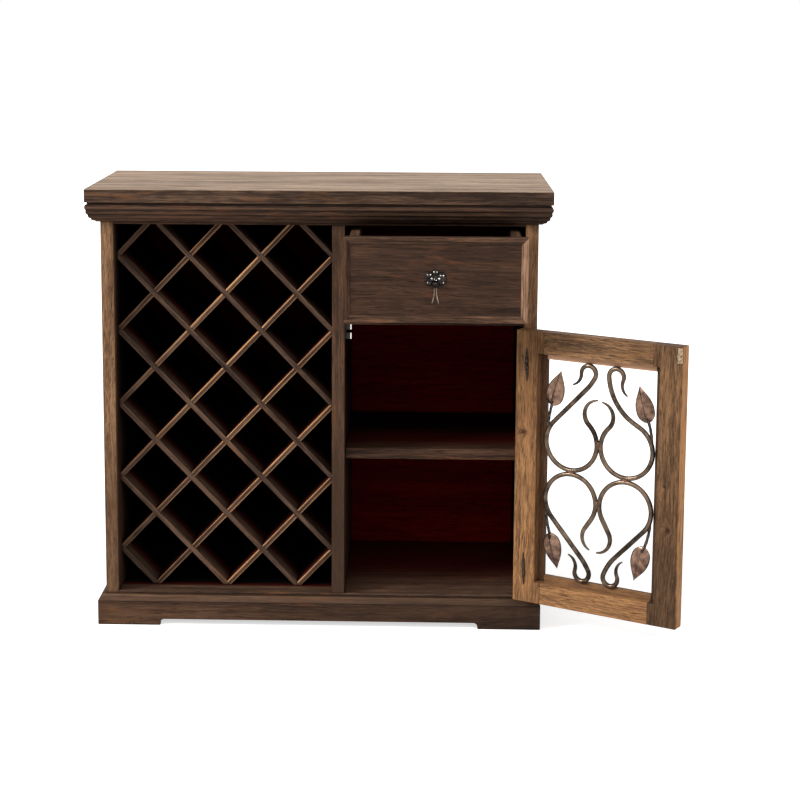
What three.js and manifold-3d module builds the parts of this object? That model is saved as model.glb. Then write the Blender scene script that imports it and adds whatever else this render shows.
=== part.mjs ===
// Wine cabinet: a lattice of bottle cells on the left, a drawer over a cupboard on the right,
// whose framed door holds a wrought scroll grille.
// Millimetres. X runs along the front, Y from front to back, Z up.
import * as THREE from "three";
import { mergeVertices } from "three/addons/utils/BufferGeometryUtils.js";
import Module from "manifold-3d";

// Carcass
const overallHeight = 914;
const bodyWidth = 890;
const bodyDepth = 404;
const boardThickness = 26;
const backThickness = 6;
const sideClearOfFloor = 16;
const seat = 0.3; // gap left where two pieces meet
const overrun = 5; // how far a cutting body runs past what it cuts

// Top board and the reeded cornice under it
const topThickness = 27;
const topOverhang = 28;
const filletHeight = 5.5;
const filletRecess = 5;
const ovoloHeight = 36;
const corniceFoot = 2.5;
const reedDepth = 1.8;
const reedCount = 5;
const reedSteps = 4;
const topRailReveal = 4.5;
const topRailThickness = 22;
const subTopRecess = 7;
const subTopThickness = 20;

// Plinth
const plinthHeight = 64;
const plinthFaceHeight = 51;
const plinthProud = 16;
const plinthBevel = 8;
const plinthBackThickness = 20;
const footLength = 130;
const sideFootLength = 110;
const footRise = 13;
const footCurve = 9;

// Bays
const floorTop = 69;
const floorThickness = 20;
const rightBayWidth = 366;
const drawerOpeningHeight = 177;
const drawerRailDepth = 70;
const shelfHeight = 302;
const shelfThickness = 22;
const shelfSetback = 35;

// Lattice of half-lapped boards, counted in half cells across and up
const latticeThickness = 10;
const latticeSetback = 50;
const halfCellCountAcross = 6;
const halfCellCountUp = 10;
const lapClearance = 0.3;

// Drawer
const drawerPulledOut = 143;
const drawerSideGap = 1.8;
const drawerBottomGap = 2;
const drawerTopGap = 6.5;
const drawerFrontThickness = 20;
const mouldingProud = 6;
const mouldingFlat = 5;
const beadCount = 2;
const beadRadius = 2.1;
const beadStep = 1.9;
const beadSteps = 5;
const boxSideThickness = 18;
const boxBackThickness = 15;
const boxBottomThickness = 6;
const boxLength = 350;
const boxBelowFront = 10;
const boxTopDrop = 3;
const boxBottomRise = 9;

// Drawer slides: a channel on the cabinet, a smaller one on the drawer that runs in it
const slideSpace = 13;
const slideHeight = 35;
const slideSheet = 1.5;
const slideChannelDepth = 8.7;
const slideRunning = 0.3;
const slideFrontGap = 2;

// Door
const doorThickness = 28;
const doorOpenDegrees = 149;
const doorHingeGap = 2;
const doorFreeGap = 2.5;
const doorEndGap = 2;
const stileWidth = 61;
const doorRailHeight = 57.5;
const rebateWidth = 13;
const rebateDepth = 18;

// Butt hinges
const hingeLength = 62;
const hingeFromEnd = 70;
const hingeBarrelRadius = 3.5;
const hingeBarrelStandoff = 0.4;
const hingePinRadius = 1.6;
const hingeRunning = 0.25;
const hingeLeafThickness = 1.5;
const hingeLeafWidth = 20;
const hingeMortiseDepth = 1.2;

// Olive-shaped fittings on the back of the hinge stile
const oliveLength = 68;
const oliveRadius = 4;
const oliveWaistRadius = 1.7;
const oliveWaistLength = 2;
const oliveTipRadius = 0.8;
const oliveSteps = 5;

// Scroll grille
const barDiameter = 10;
const barTipDiameter = 5;
const barTipLength = 70;
const barSides = 8;
const barStep = 25;
const bendStepDegrees = 13;
const barWeld = 0.8;
const grilleLap = 2;
const hookRadius = 16;
const tailStraight = 3;
const tailRadius = 24;
const neckLength = 30;
const curlRadius = 29.5;

// The scrolls are bent by hand, so each has its own angles, with side 1 towards the hinges and end 1 upwards.
// Its long bar leaves the loop at loopOuterDegrees, and sways through a share of the height up to the hook.
// Its leaf's stem leaves the loop at stemAtDegrees, and ends at a share of the leaf's height.
const scrolls = [
  {
    side: 1, end: 1,
    loopOuterDegrees: 44, swayDegrees: 16, swayShare: 0.25, hookDegrees: 207, tailDegrees: 75,
    loopInnerDegrees: 134, neckShare: 0.1, curlDegrees: 135,
    stemAtDegrees: 20, stemTopShare: 0.49, stemLeanDegrees: 8, leafLeanDegrees: 15,
  },
  {
    side: -1, end: 1,
    loopOuterDegrees: 61, swayDegrees: 57, swayShare: 0.93, hookDegrees: 203, tailDegrees: 79,
    loopInnerDegrees: 136, neckShare: 0.1, curlDegrees: 127,
    stemAtDegrees: 15, stemTopShare: 0.42, stemLeanDegrees: 10, leafLeanDegrees: 16,
  },
  {
    side: 1, end: -1,
    loopOuterDegrees: 42, swayDegrees: 16, swayShare: 0.25, hookDegrees: 219, tailDegrees: 87,
    loopInnerDegrees: 146, neckShare: 0.8, curlDegrees: 98,
    stemAtDegrees: 15, stemTopShare: 0.49, stemLeanDegrees: 9, leafLeanDegrees: 14,
  },
  {
    side: -1, end: -1,
    loopOuterDegrees: 44, swayDegrees: 24, swayShare: 0.38, hookDegrees: 220, tailDegrees: 84,
    loopInnerDegrees: 151, neckShare: 1, curlDegrees: 120,
    stemAtDegrees: 12, stemTopShare: 0.47, stemLeanDegrees: 11, leafLeanDegrees: 16,
  },
];

// Leaves on twisted stems, which share the height from the loop's middle to near the frame
const leafTipClearance = 15;
const leafHeightShare = 0.51;
const leafWidthShare = 0.52;
const leafThickness = 3;
const leafRidge = 5;
const stemRadius = 3;
const stemSides = 4;
const stemStep = 4;
const stemStepDegrees = 40;
const leafHalfWidthShares = [0, 0.72, 0.95, 1, 0.98, 0.88, 0.7, 0.46, 0.2, 0];

// Rosette and drop of the pulls
const rosetteHalfWidth = 24;
const rosetteHalfHeight = 19;
const petalLength = 9.5;
const petalWidth = 7.5;
const petalThickness = 4;
const petalDegrees = [90, 152, 28, 222, 318];
const petalSides = 12;
const rosetteBeadRadius = 2;
const rosetteBeadDegrees = [81, 99, 28, 28, 152, 152, 214, 326, 180, 0];
const rosetteBeadShares = [0.8, 0.8, 0.5, 0.8, 0.5, 0.8, 0.78, 0.78, 0.4, 0.4];
const rosetteCentreRadius = 8;
const pullAbovePanelCentre = 3;
const earSpan = 10;
const earThickness = 1.8;
const earRadius = 3;
const pullPinRadius = 1.3;
const pullPinStandoff = 9;
const pullPinDrop = 9;
const dropHeadRadius = 3.6;
const dropHeadWidth = 8.6;
const dropLegLength = 38;
const dropLegRadius = 1.7;
const dropLegSpread = 3;
const dropLegFlare = 6.6;
const dropLegSides = 6;
const dropLegSteps = 6;

// Double ball catch at the top of the cupboard
const catchHeight = 32;
const catchWidth = 12.5;
const catchDepth = 14;
const catchPlate = 1.5;
const catchMouth = 7;
const catchBallRadius = 3;
const catchBallShows = 0.9;
const catchBelowRail = 3.5;
const catchBehindStrike = 2;
const strikeHeight = 30;
const strikeWidth = 10;
const strikeThickness = 1.5;
const strikeFromEdge = 5.5;
const tongueThickness = 4;
const tongueWidth = 6;
const tongueLength = 9;
const strikeScrewRadius = 2.8;
const strikeScrewHeight = 0.9;
const strikeScrewSpacing = 20;

// Faces of small round pieces
const roundSides = 16;
const smallSides = 8;
const arcSteps = 4;

const wasm = await Module();
wasm.setup();

// Materials

function material(name, color, roughness, metalness) {
  return Object.assign(new THREE.MeshStandardMaterial({ color, roughness, metalness }), { name });
}
const topWood = material("top_wood", 0x8a6f58, 0.45, 0);
const carcassWood = material("carcass_wood", 0x5f4530, 0.5, 0);
const darkWood = material("dark_wood", 0x46322a, 0.5, 0);
const doorWood = material("door_wood", 0x7d5836, 0.5, 0);
const latticeWood = material("lattice_wood", 0x55402f, 0.55, 0);
const boxWood = material("drawer_box_wood", 0x6a5140, 0.6, 0);
const grilleIron = material("grille_iron", 0x75655a, 0.45, 0.8);
const pullIron = material("pull_iron", 0x4a4a46, 0.35, 0.85);
const hingeIron = material("hinge_iron", 0x3d3934, 0.45, 0.8);
const slideSteel = material("slide_steel", 0xa9abad, 0.35, 0.9);
const catchSteel = material("catch_steel", 0xb9b5aa, 0.3, 0.9);

// Geometry helpers

// A closed geometry as a solid that can be cut and joined.
function solid(geometry) {
  const bare = geometry.clone();
  bare.deleteAttribute("normal");
  bare.deleteAttribute("uv");
  const merged = mergeVertices(bare);
  return new wasm.Manifold(
    new wasm.Mesh({
      numProp: 3,
      vertProperties: merged.attributes.position.array,
      triVerts: new Uint32Array(merged.index.array),
    }),
  );
}

// A cut or joined solid as a geometry again.
function geometryOf(made) {
  const mesh = made.getMesh();
  const geometry = new THREE.BufferGeometry();
  geometry.setAttribute("position", new THREE.BufferAttribute(mesh.vertProperties, mesh.numProp));
  geometry.setIndex(new THREE.BufferAttribute(mesh.triVerts, 1));
  geometry.computeVertexNormals();
  return geometry;
}

function join(geometries) {
  return geometryOf(geometries.map(solid).reduce((whole, piece) => whole.add(piece)));
}

function cut(geometry, cutters) {
  return geometryOf(cutters.map(solid).reduce((whole, cutter) => whole.subtract(cutter), solid(geometry)));
}

function box(low, high) {
  const size = low.map((value, axis) => high[axis] - value);
  const middle = low.map((value, axis) => (high[axis] + value) / 2);
  return new THREE.BoxGeometry(...size).translate(...middle);
}

const unitX = new THREE.Vector3(1, 0, 0);
const unitY = new THREE.Vector3(0, 1, 0);
const unitZ = new THREE.Vector3(0, 0, 1);
const alongX = new THREE.Matrix4().makeBasis(unitY, unitZ, unitX);
const alongY = new THREE.Matrix4().makeBasis(unitX, unitZ, unitY.clone().negate());

// An outline of points or a THREE.Shape, extruded along one axis from low to high.
function prism(axis, outline, low, high) {
  const shape = Array.isArray(outline)
    ? new THREE.Shape(outline.map(([u, v]) => new THREE.Vector2(u, v)))
    : outline;
  const geometry = new THREE.ExtrudeGeometry(shape, {
    depth: high - low,
    bevelEnabled: false,
    curveSegments: arcSteps,
  });
  if (axis === "x") return geometry.applyMatrix4(alongX).translate(low, 0, 0);
  if (axis === "y") return geometry.applyMatrix4(alongY).translate(0, high, 0);
  return geometry.translate(0, 0, low);
}

// A cylinder along X, Y or Z between two places on that axis.
function rod(axis, radius, low, high, sides) {
  const geometry = new THREE.CylinderGeometry(radius, radius, high - low, sides);
  geometry.translate(0, (high + low) / 2, 0);
  if (axis === "x") geometry.rotateZ(-Math.PI / 2);
  if (axis === "z") geometry.rotateX(Math.PI / 2);
  return geometry;
}

function ball(radii, centre, sides) {
  return new THREE.SphereGeometry(1, sides, sides / 2).scale(...radii).translate(...centre);
}

// A closed skin through rings of equal point counts, either capped at its ends or run round in a loop.
function skin(rings, capOutline) {
  const count = rings[0].length;
  const index = [];
  const spans = capOutline ? rings.length - 1 : rings.length;
  for (let ring = 0; ring < spans; ring++) {
    const here = ring * count;
    const next = ((ring + 1) % rings.length) * count;
    for (let i = 0; i < count; i++) {
      const j = (i + 1) % count;
      index.push(here + i, here + j, next + j, here + i, next + j, next + i);
    }
  }
  if (capOutline) {
    const faces = THREE.ShapeUtils.triangulateShape(capOutline, []);
    const flip = THREE.ShapeUtils.isClockWise(capOutline);
    const last = (rings.length - 1) * count;
    for (const face of faces) {
      const [a, b, c] = flip ? face.toReversed() : face;
      index.push(c, b, a, last + a, last + b, last + c);
    }
  }
  const geometry = new THREE.BufferGeometry().setFromPoints(rings.flat());
  geometry.setIndex(index);
  return facingOut(geometry);
}

// The same geometry with its faces turned outwards.
function facingOut(geometry) {
  const position = geometry.attributes.position;
  const corner = [0, 1, 2].map(() => new THREE.Vector3());
  const index = geometry.index.array;
  let sixVolumes = 0;
  for (let i = 0; i < index.length; i += 3) {
    corner.forEach((point, k) => point.fromBufferAttribute(position, index[i + k]));
    sixVolumes += corner[0].dot(corner[1].cross(corner[2]));
  }
  if (sixVolumes < 0) index.reverse();
  geometry.computeVertexNormals();
  return geometry;
}

// A moulding's outline run between two ends: place(point, end) gives each outline point at end 0 and 1.
function mouldingRun(outline, place) {
  const rings = [0, 1].map((end) => outline.map((point) => place(point, end)));
  return skin(
    rings,
    outline.map(([u, v]) => new THREE.Vector2(u, v)),
  );
}

// The part of a convex outline that lies on the side of a line that the direction (nx, ny) points to.
function clip(outline, [px, py], [nx, ny]) {
  const depth = ([x, y]) => (x - px) * nx + (y - py) * ny;
  return outline.flatMap((point, i) => {
    const next = outline[(i + 1) % outline.length];
    const [a, b] = [depth(point), depth(next)];
    const kept = a >= 0 ? [point] : [];
    if (a >= 0 !== b >= 0) {
      const share = a / (a - b);
      kept.push([point[0] + share * (next[0] - point[0]), point[1] + share * (next[1] - point[1])]);
    }
    return kept;
  });
}

function addPiece(group, name, geometry, itsMaterial) {
  const mesh = new THREE.Mesh(geometry, itsMaterial);
  mesh.name = name;
  group.add(mesh);
  return mesh;
}

// A plain board, given by its lowest and highest corners.
function addBoard(group, name, low, high, itsMaterial) {
  const size = low.map((value, axis) => high[axis] - value);
  const mesh = addPiece(group, name, new THREE.BoxGeometry(...size), itsMaterial);
  mesh.position.set(...low.map((value, axis) => (high[axis] + value) / 2));
  return mesh;
}

// Places worked out from the driving sizes

const halfBody = bodyWidth / 2;
const innerLeft = boardThickness - halfBody;
const innerRight = halfBody - boardThickness;
const rightBayLeft = innerRight - rightBayWidth;
const leftBayRight = rightBayLeft - boardThickness;
const innerBack = bodyDepth - backThickness - seat;
const topBoardUnderside = overallHeight - topThickness;
const corniceBottom = topBoardUnderside - filletHeight - ovoloHeight;
const baysTop = corniceBottom - topRailReveal;
const subTopUnderside = baysTop + subTopRecess;
const drawerRailTop = baysTop - drawerOpeningHeight;
const cupboardTop = drawerRailTop - boardThickness;
const doorBottom = floorTop + doorEndGap;
const doorTop = cupboardTop - doorEndGap;
const doorHeight = doorTop - doorBottom;
const doorWidth = rightBayWidth - doorHingeGap - doorFreeGap;
const hingeAxisX = innerRight - doorHingeGap / 2;
const hingeAxisY = -(hingeBarrelRadius + hingeBarrelStandoff);
const hingeHeights = [doorTop - hingeFromEnd, doorBottom + hingeFromEnd];
const mitreGap = seat * Math.SQRT1_2;

const cabinet = new THREE.Group();

// Carcass

// A side board's mortises for the cabinet leaves of the hinges.
function hingeMortise(faceX, depthX, centreZ) {
  return box(
    [Math.min(faceX, faceX + depthX), -overrun, centreZ - hingeLength / 2 - seat],
    [Math.max(faceX, faceX + depthX), hingeLeafWidth + seat, centreZ + hingeLength / 2 + seat],
  );
}

function buildCarcass() {
  const sideLow = sideClearOfFloor;
  const sideHigh = topBoardUnderside - seat;
  addBoard(cabinet, "left_side", [-halfBody, 0, sideLow], [innerLeft, bodyDepth, sideHigh], carcassWood);

  const rightBoard = box([innerRight, 0, sideLow], [halfBody, bodyDepth, sideHigh]);
  const mortises = hingeHeights.map((z) => hingeMortise(innerRight, hingeMortiseDepth, z));
  mortises.push(...hingeHeights.map((z) => hingeMortise(innerRight, -overrun, z)));
  addPiece(cabinet, "right_side", cut(rightBoard, mortises), carcassWood);

  const dividerOutline = [
    [0, floorTop + seat],
    [innerBack, floorTop + seat],
    [innerBack, subTopUnderside - seat],
    [topRailThickness + seat, subTopUnderside - seat],
    [topRailThickness + seat, baysTop - seat],
    [0, baysTop - seat],
  ];
  addPiece(cabinet, "centre_divider", prism("x", dividerOutline, leftBayRight, rightBayLeft), carcassWood);

  addBoard(
    cabinet,
    "floor_board",
    [innerLeft + seat, 0, floorTop - floorThickness],
    [innerRight - seat, innerBack, floorTop],
    darkWood,
  );
  addBoard(
    cabinet,
    "sub_top",
    [innerLeft + seat, topRailThickness + seat, subTopUnderside],
    [innerRight - seat, innerBack, subTopUnderside + subTopThickness],
    darkWood,
  );
  addBoard(
    cabinet,
    "top_rail",
    [innerLeft + seat, 0, baysTop],
    [innerRight - seat, topRailThickness, sideHigh],
    darkWood,
  );
  addBoard(
    cabinet,
    "drawer_rail",
    [rightBayLeft + seat, 0, cupboardTop],
    [innerRight - seat, drawerRailDepth, drawerRailTop],
    darkWood,
  );
  addBoard(
    cabinet,
    "shelf",
    [rightBayLeft + seat, shelfSetback, floorTop + shelfHeight - shelfThickness],
    [innerRight - seat, innerBack, floorTop + shelfHeight],
    carcassWood,
  );
  addBoard(
    cabinet,
    "back_panel",
    [innerLeft + seat, bodyDepth - backThickness, floorTop - floorThickness],
    [innerRight - seat, bodyDepth, sideHigh],
    darkWood,
  );
}

// Top board and cornice

// The cornice in section: an ovolo worked with reeds, and a fillet above it. [projection, height]
function corniceOutline() {
  const reach = topOverhang - corniceFoot;
  const ovolo = [];
  const steps = reedCount * reedSteps;
  for (let i = 0; i <= steps; i++) {
    const share = i / steps;
    const angle = (Math.PI / 2) * share;
    const groove = reedDepth * (1 - Math.abs(Math.sin(Math.PI * reedCount * share)));
    ovolo.push([
      corniceFoot + (reach - groove) * Math.sin(angle),
      corniceBottom + ovoloHeight - (ovoloHeight - groove) * Math.cos(angle),
    ]);
  }
  const filletTop = topBoardUnderside - seat;
  return [
    [seat, corniceBottom + reedDepth],
    ...ovolo,
    [topOverhang - filletRecess, corniceBottom + ovoloHeight],
    [topOverhang - filletRecess, filletTop],
    [seat, filletTop],
  ];
}

// A moulding that runs round the front and both sides of the body, mitred at the front corners.
function addRoundBody(prefix, outline, itsMaterial, cutters) {
  const faceX = halfBody;
  const front = mouldingRun(outline, ([out, z], end) => {
    const x = faceX + out - mitreGap;
    return new THREE.Vector3(end ? x : -x, -out, z);
  });
  addPiece(cabinet, `${prefix}_front`, cutters ? cut(front, [cutters.front]) : front, itsMaterial);
  for (const [side, sign] of [["left", -1], ["right", 1]]) {
    const run = mouldingRun(outline, ([out, z], end) => {
      const y = end ? bodyDepth : mitreGap - out;
      return new THREE.Vector3(sign * (faceX + out), y, z);
    });
    addPiece(cabinet, `${prefix}_${side}`, cutters ? cut(run, [cutters[side]]) : run, itsMaterial);
  }
}

function buildTop() {
  const reach = halfBody + topOverhang;
  addBoard(
    cabinet,
    "top_board",
    [-reach, -topOverhang, topBoardUnderside],
    [reach, bodyDepth, overallHeight],
    topWood,
  );
  addRoundBody("cornice", corniceOutline(), darkWood);
}

// Plinth

// The low arch under a plinth board between its feet, with rounded upper corners.
function footArch(low, high) {
  const shape = new THREE.Shape();
  shape.moveTo(low, -overrun);
  shape.lineTo(high, -overrun);
  shape.lineTo(high, footRise - footCurve);
  shape.absarc(high - footCurve, footRise - footCurve, footCurve, 0, Math.PI / 2);
  shape.lineTo(low + footCurve, footRise);
  shape.absarc(low + footCurve, footRise - footCurve, footCurve, Math.PI / 2, Math.PI);
  shape.closePath();
  return shape;
}

function buildPlinth() {
  const outline = [
    [seat, 0],
    [plinthProud, 0],
    [plinthProud, plinthFaceHeight],
    [plinthProud - plinthBevel, plinthHeight],
    [seat, plinthHeight],
  ];
  const reach = halfBody + plinthProud;
  const sideArch = footArch(sideFootLength - plinthProud, bodyDepth - sideFootLength);
  addRoundBody("plinth", outline, darkWood, {
    front: prism("y", footArch(footLength - reach, reach - footLength), -reach, reach),
    left: prism("x", sideArch, -reach - overrun, overrun - halfBody),
    right: prism("x", sideArch, halfBody - overrun, reach + overrun),
  });
  addBoard(
    cabinet,
    "plinth_back",
    [innerLeft + seat, bodyDepth - plinthBackThickness, 0],
    [innerRight - seat, bodyDepth, floorTop - floorThickness - seat],
    darkWood,
  );
}

// Lattice

// Each board is a line of half-cell nodes. Rising boards keep (up - across), falling ones (up + across).
function latticeBoards() {
  const boards = [];
  for (let sum = 1; sum < halfCellCountAcross + halfCellCountUp; sum += 2) {
    const start = Math.max(0, sum - halfCellCountUp);
    const end = Math.min(halfCellCountAcross, sum);
    boards.push({ family: "falling", sign: -1, start: [start, sum - start], end: [end, sum - end] });
  }
  for (let lead = 1 - halfCellCountAcross; lead < halfCellCountUp; lead += 2) {
    const start = Math.max(0, -lead);
    const end = Math.min(halfCellCountAcross, halfCellCountUp - lead);
    boards.push({ family: "rising", sign: 1, start: [start, start + lead], end: [end, end + lead] });
  }
  return boards;
}

const latticeLow = [innerLeft + seat, floorTop + seat];
const latticeHigh = [leftBayRight - seat, subTopUnderside - seat];
const halfCellWidth = (latticeHigh[0] - latticeLow[0]) / halfCellCountAcross;
const halfCellHeight = (latticeHigh[1] - latticeLow[1]) / halfCellCountUp;

function latticeNode([across, up]) {
  return [latticeLow[0] + across * halfCellWidth, latticeLow[1] + up * halfCellHeight];
}

// A straight strip of the lattice in front view, running at the slope of its family.
function latticeStrip(centre, sign, halfLength, halfWidth) {
  const length = Math.hypot(halfCellWidth, halfCellHeight);
  const along = [halfCellWidth / length, (sign * halfCellHeight) / length];
  const across = [-along[1], along[0]];
  return [[-1, -1], [1, -1], [1, 1], [-1, 1]].map(([a, b]) => [
    centre[0] + a * halfLength * along[0] + b * halfWidth * across[0],
    centre[1] + a * halfLength * along[1] + b * halfWidth * across[1],
  ]);
}

// Where a board ends it meets the wall and, on a mitre, the board of the other family.
function clipBoardEnd(outline, node, sign, atStart) {
  const [x, z] = latticeNode(node);
  const onSideWall = node[0] === 0 || node[0] === halfCellCountAcross;
  const inwards = atStart ? 1 : -1;
  if (onSideWall) return clip(outline, [x, z + (inwards * sign * seat) / 2], [0, inwards * sign]);
  return clip(outline, [x + (inwards * seat) / 2, z], [inwards, 0]);
}

function latticeBoardOutline(board) {
  const from = latticeNode(board.start);
  const to = latticeNode(board.end);
  const centre = [(from[0] + to[0]) / 2, (from[1] + to[1]) / 2];
  const halfLength = Math.hypot(to[0] - from[0], to[1] - from[1]) / 2 + latticeThickness * 2;
  let outline = latticeStrip(centre, board.sign, halfLength, latticeThickness / 2);
  outline = clip(outline, latticeLow, [1, 0]);
  outline = clip(outline, latticeLow, [0, 1]);
  outline = clip(outline, latticeHigh, [-1, 0]);
  outline = clip(outline, latticeHigh, [0, -1]);
  outline = clipBoardEnd(outline, board.start, board.sign, true);
  return clipBoardEnd(outline, board.end, board.sign, false);
}

// Half-lap slots: falling boards are open from behind, rising ones from the front.
function latticeSlots(board, front, back) {
  const middle = (front + back) / 2;
  const [low, high] = board.sign < 0
    ? [middle - seat / 2, back + overrun]
    : [front - overrun, middle + seat / 2];
  const slots = [];
  for (let across = board.start[0] + 1; across < board.end[0]; across++) {
    const up = board.start[1] + board.sign * (across - board.start[0]);
    const halfWidth = latticeThickness / 2 + lapClearance;
    const strip = latticeStrip(latticeNode([across, up]), -board.sign, latticeThickness * 2, halfWidth);
    slots.push(prism("y", strip, low, high));
  }
  return slots;
}

function buildLattice() {
  const front = latticeSetback;
  const back = innerBack;
  const made = { falling: 0, rising: 0 };
  for (const board of latticeBoards()) {
    made[board.family] += 1;
    const blank = prism("y", latticeBoardOutline(board), front, back);
    const shaped = cut(blank, latticeSlots(board, front, back));
    addPiece(cabinet, `lattice_${board.family}_${made[board.family]}`, shaped, latticeWood);
  }
}

// Pulls, in a frame whose +Y points into the panel and whose panel face is at Y = 0

function buildRosette() {
  const centreRadii = [rosetteCentreRadius, petalThickness, rosetteCentreRadius];
  const pieces = [ball(centreRadii, [0, 0, 0], roundSides)];
  for (const degrees of petalDegrees) {
    const angle = THREE.MathUtils.degToRad(degrees);
    const reachX = (rosetteHalfWidth - petalLength) * Math.cos(angle);
    const reachZ = (rosetteHalfHeight - petalLength) * Math.sin(angle);
    const petal = ball([petalLength, petalThickness, petalWidth], [0, 0, 0], petalSides);
    pieces.push(petal.rotateY(-angle).translate(reachX, 0, reachZ));
  }
  rosetteBeadDegrees.forEach((degrees, i) => {
    const angle = THREE.MathUtils.degToRad(degrees);
    const x = rosetteHalfWidth * rosetteBeadShares[i] * Math.cos(angle);
    const z = rosetteHalfHeight * rosetteBeadShares[i] * Math.sin(angle);
    const radii = [rosetteBeadRadius, rosetteBeadRadius, rosetteBeadRadius];
    pieces.push(ball(radii, [x, rosetteBeadRadius / 2 - petalThickness, z], smallSides));
  });
  const earEnd = -pullPinStandoff;
  for (const sign of [-1, 1]) {
    const outer = (sign * earSpan) / 2 + (sign * earThickness);
    const inner = (sign * earSpan) / 2;
    const [low, high] = [Math.min(outer, inner), Math.max(outer, inner)];
    pieces.push(box([low, earEnd, -pullPinDrop - earRadius], [high, 0, -pullPinDrop + earRadius]));
    pieces.push(rod("x", earRadius, low, high, roundSides).translate(0, earEnd, -pullPinDrop));
  }
  const pinReach = earSpan / 2 + earThickness / 2;
  pieces.push(rod("x", pullPinRadius, -pinReach, pinReach, smallSides).translate(0, earEnd, -pullPinDrop));
  const behind = rosetteHalfWidth + petalLength;
  return cut(join(pieces), [box([-behind, -seat, -behind], [behind, behind, behind])]);
}

// A bar along a list of points, with a radius for each point and a section that may turn at each.
function bar(points, radiusAt, sides, planeNormal, turnDegrees = 0) {
  const rings = points.map((point, i) => {
    const before = points[Math.max(0, i - 1)];
    const after = points[Math.min(points.length - 1, i + 1)];
    const along = after.clone().sub(before).normalize();
    const sideways = new THREE.Vector3().crossVectors(along, planeNormal).normalize();
    const radius = radiusAt(i);
    const turn = THREE.MathUtils.degToRad(turnDegrees * i);
    return Array.from({ length: sides }, (_, k) => {
      const angle = turn + (2 * Math.PI * k) / sides;
      return point
        .clone()
        .addScaledVector(sideways, radius * Math.cos(angle))
        .addScaledVector(planeNormal, radius * Math.sin(angle));
    });
  });
  const cap = Array.from({ length: sides }, (_, k) => {
    const angle = (2 * Math.PI * k) / sides;
    return new THREE.Vector2(Math.cos(angle), Math.sin(angle));
  });
  return skin(rings, cap);
}

// The drop hangs from the pin, its two tails drawn together and then flared.
function buildDrop() {
  const head = rod("x", dropHeadRadius, -dropHeadWidth / 2, dropHeadWidth / 2, roundSides);
  const bore = rod("x", pullPinRadius + seat, -dropHeadWidth, dropHeadWidth, smallSides);
  const pieces = [cut(head, [bore])];
  const top = -(dropHeadRadius + pullPinRadius) / 2 - dropLegRadius / 2;
  for (const sign of [-1, 1]) {
    const line = new THREE.QuadraticBezierCurve3(
      new THREE.Vector3(sign * dropLegSpread, 0, top),
      new THREE.Vector3(0, 0, -dropLegLength / 2),
      new THREE.Vector3(sign * dropLegFlare, 0, -dropLegLength),
    );
    pieces.push(bar(line.getPoints(dropLegSteps), () => dropLegRadius, dropLegSides, unitY));
  }
  return join(pieces);
}

// A pull at a place on a face, as two pieces: the rosette, and the drop that swings on its pin.
function addPull(group, prefix, x, faceY, z) {
  const rosette = addPiece(group, `${prefix}_rosette`, buildRosette(), pullIron);
  rosette.position.set(x, faceY, z);
  const drop = addPiece(group, `${prefix}_drop`, buildDrop(), pullIron);
  drop.position.set(x, faceY - pullPinStandoff, z - pullPinDrop);
}

// Drawer

// The edge moulding in section: a flat, then beads that step down to the panel.
// [inset from the edge, height proud of the panel]
function drawerMouldingOutline() {
  const outline = [[0, seat], [0, mouldingProud], [mouldingFlat, mouldingProud]];
  for (let bead = 0; bead < beadCount; bead++) {
    const centre = mouldingFlat + beadRadius * (1 + 2 * bead);
    const base = mouldingProud - beadRadius - beadStep * (bead + 0.5);
    for (let i = Math.min(bead, 1); i <= beadSteps; i++) {
      const angle = Math.PI * (1 - i / beadSteps);
      outline.push([centre + beadRadius * Math.cos(angle), base + beadRadius * Math.sin(angle)]);
    }
  }
  outline.push([mouldingFlat + 2 * beadCount * beadRadius, seat]);
  return outline;
}

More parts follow.
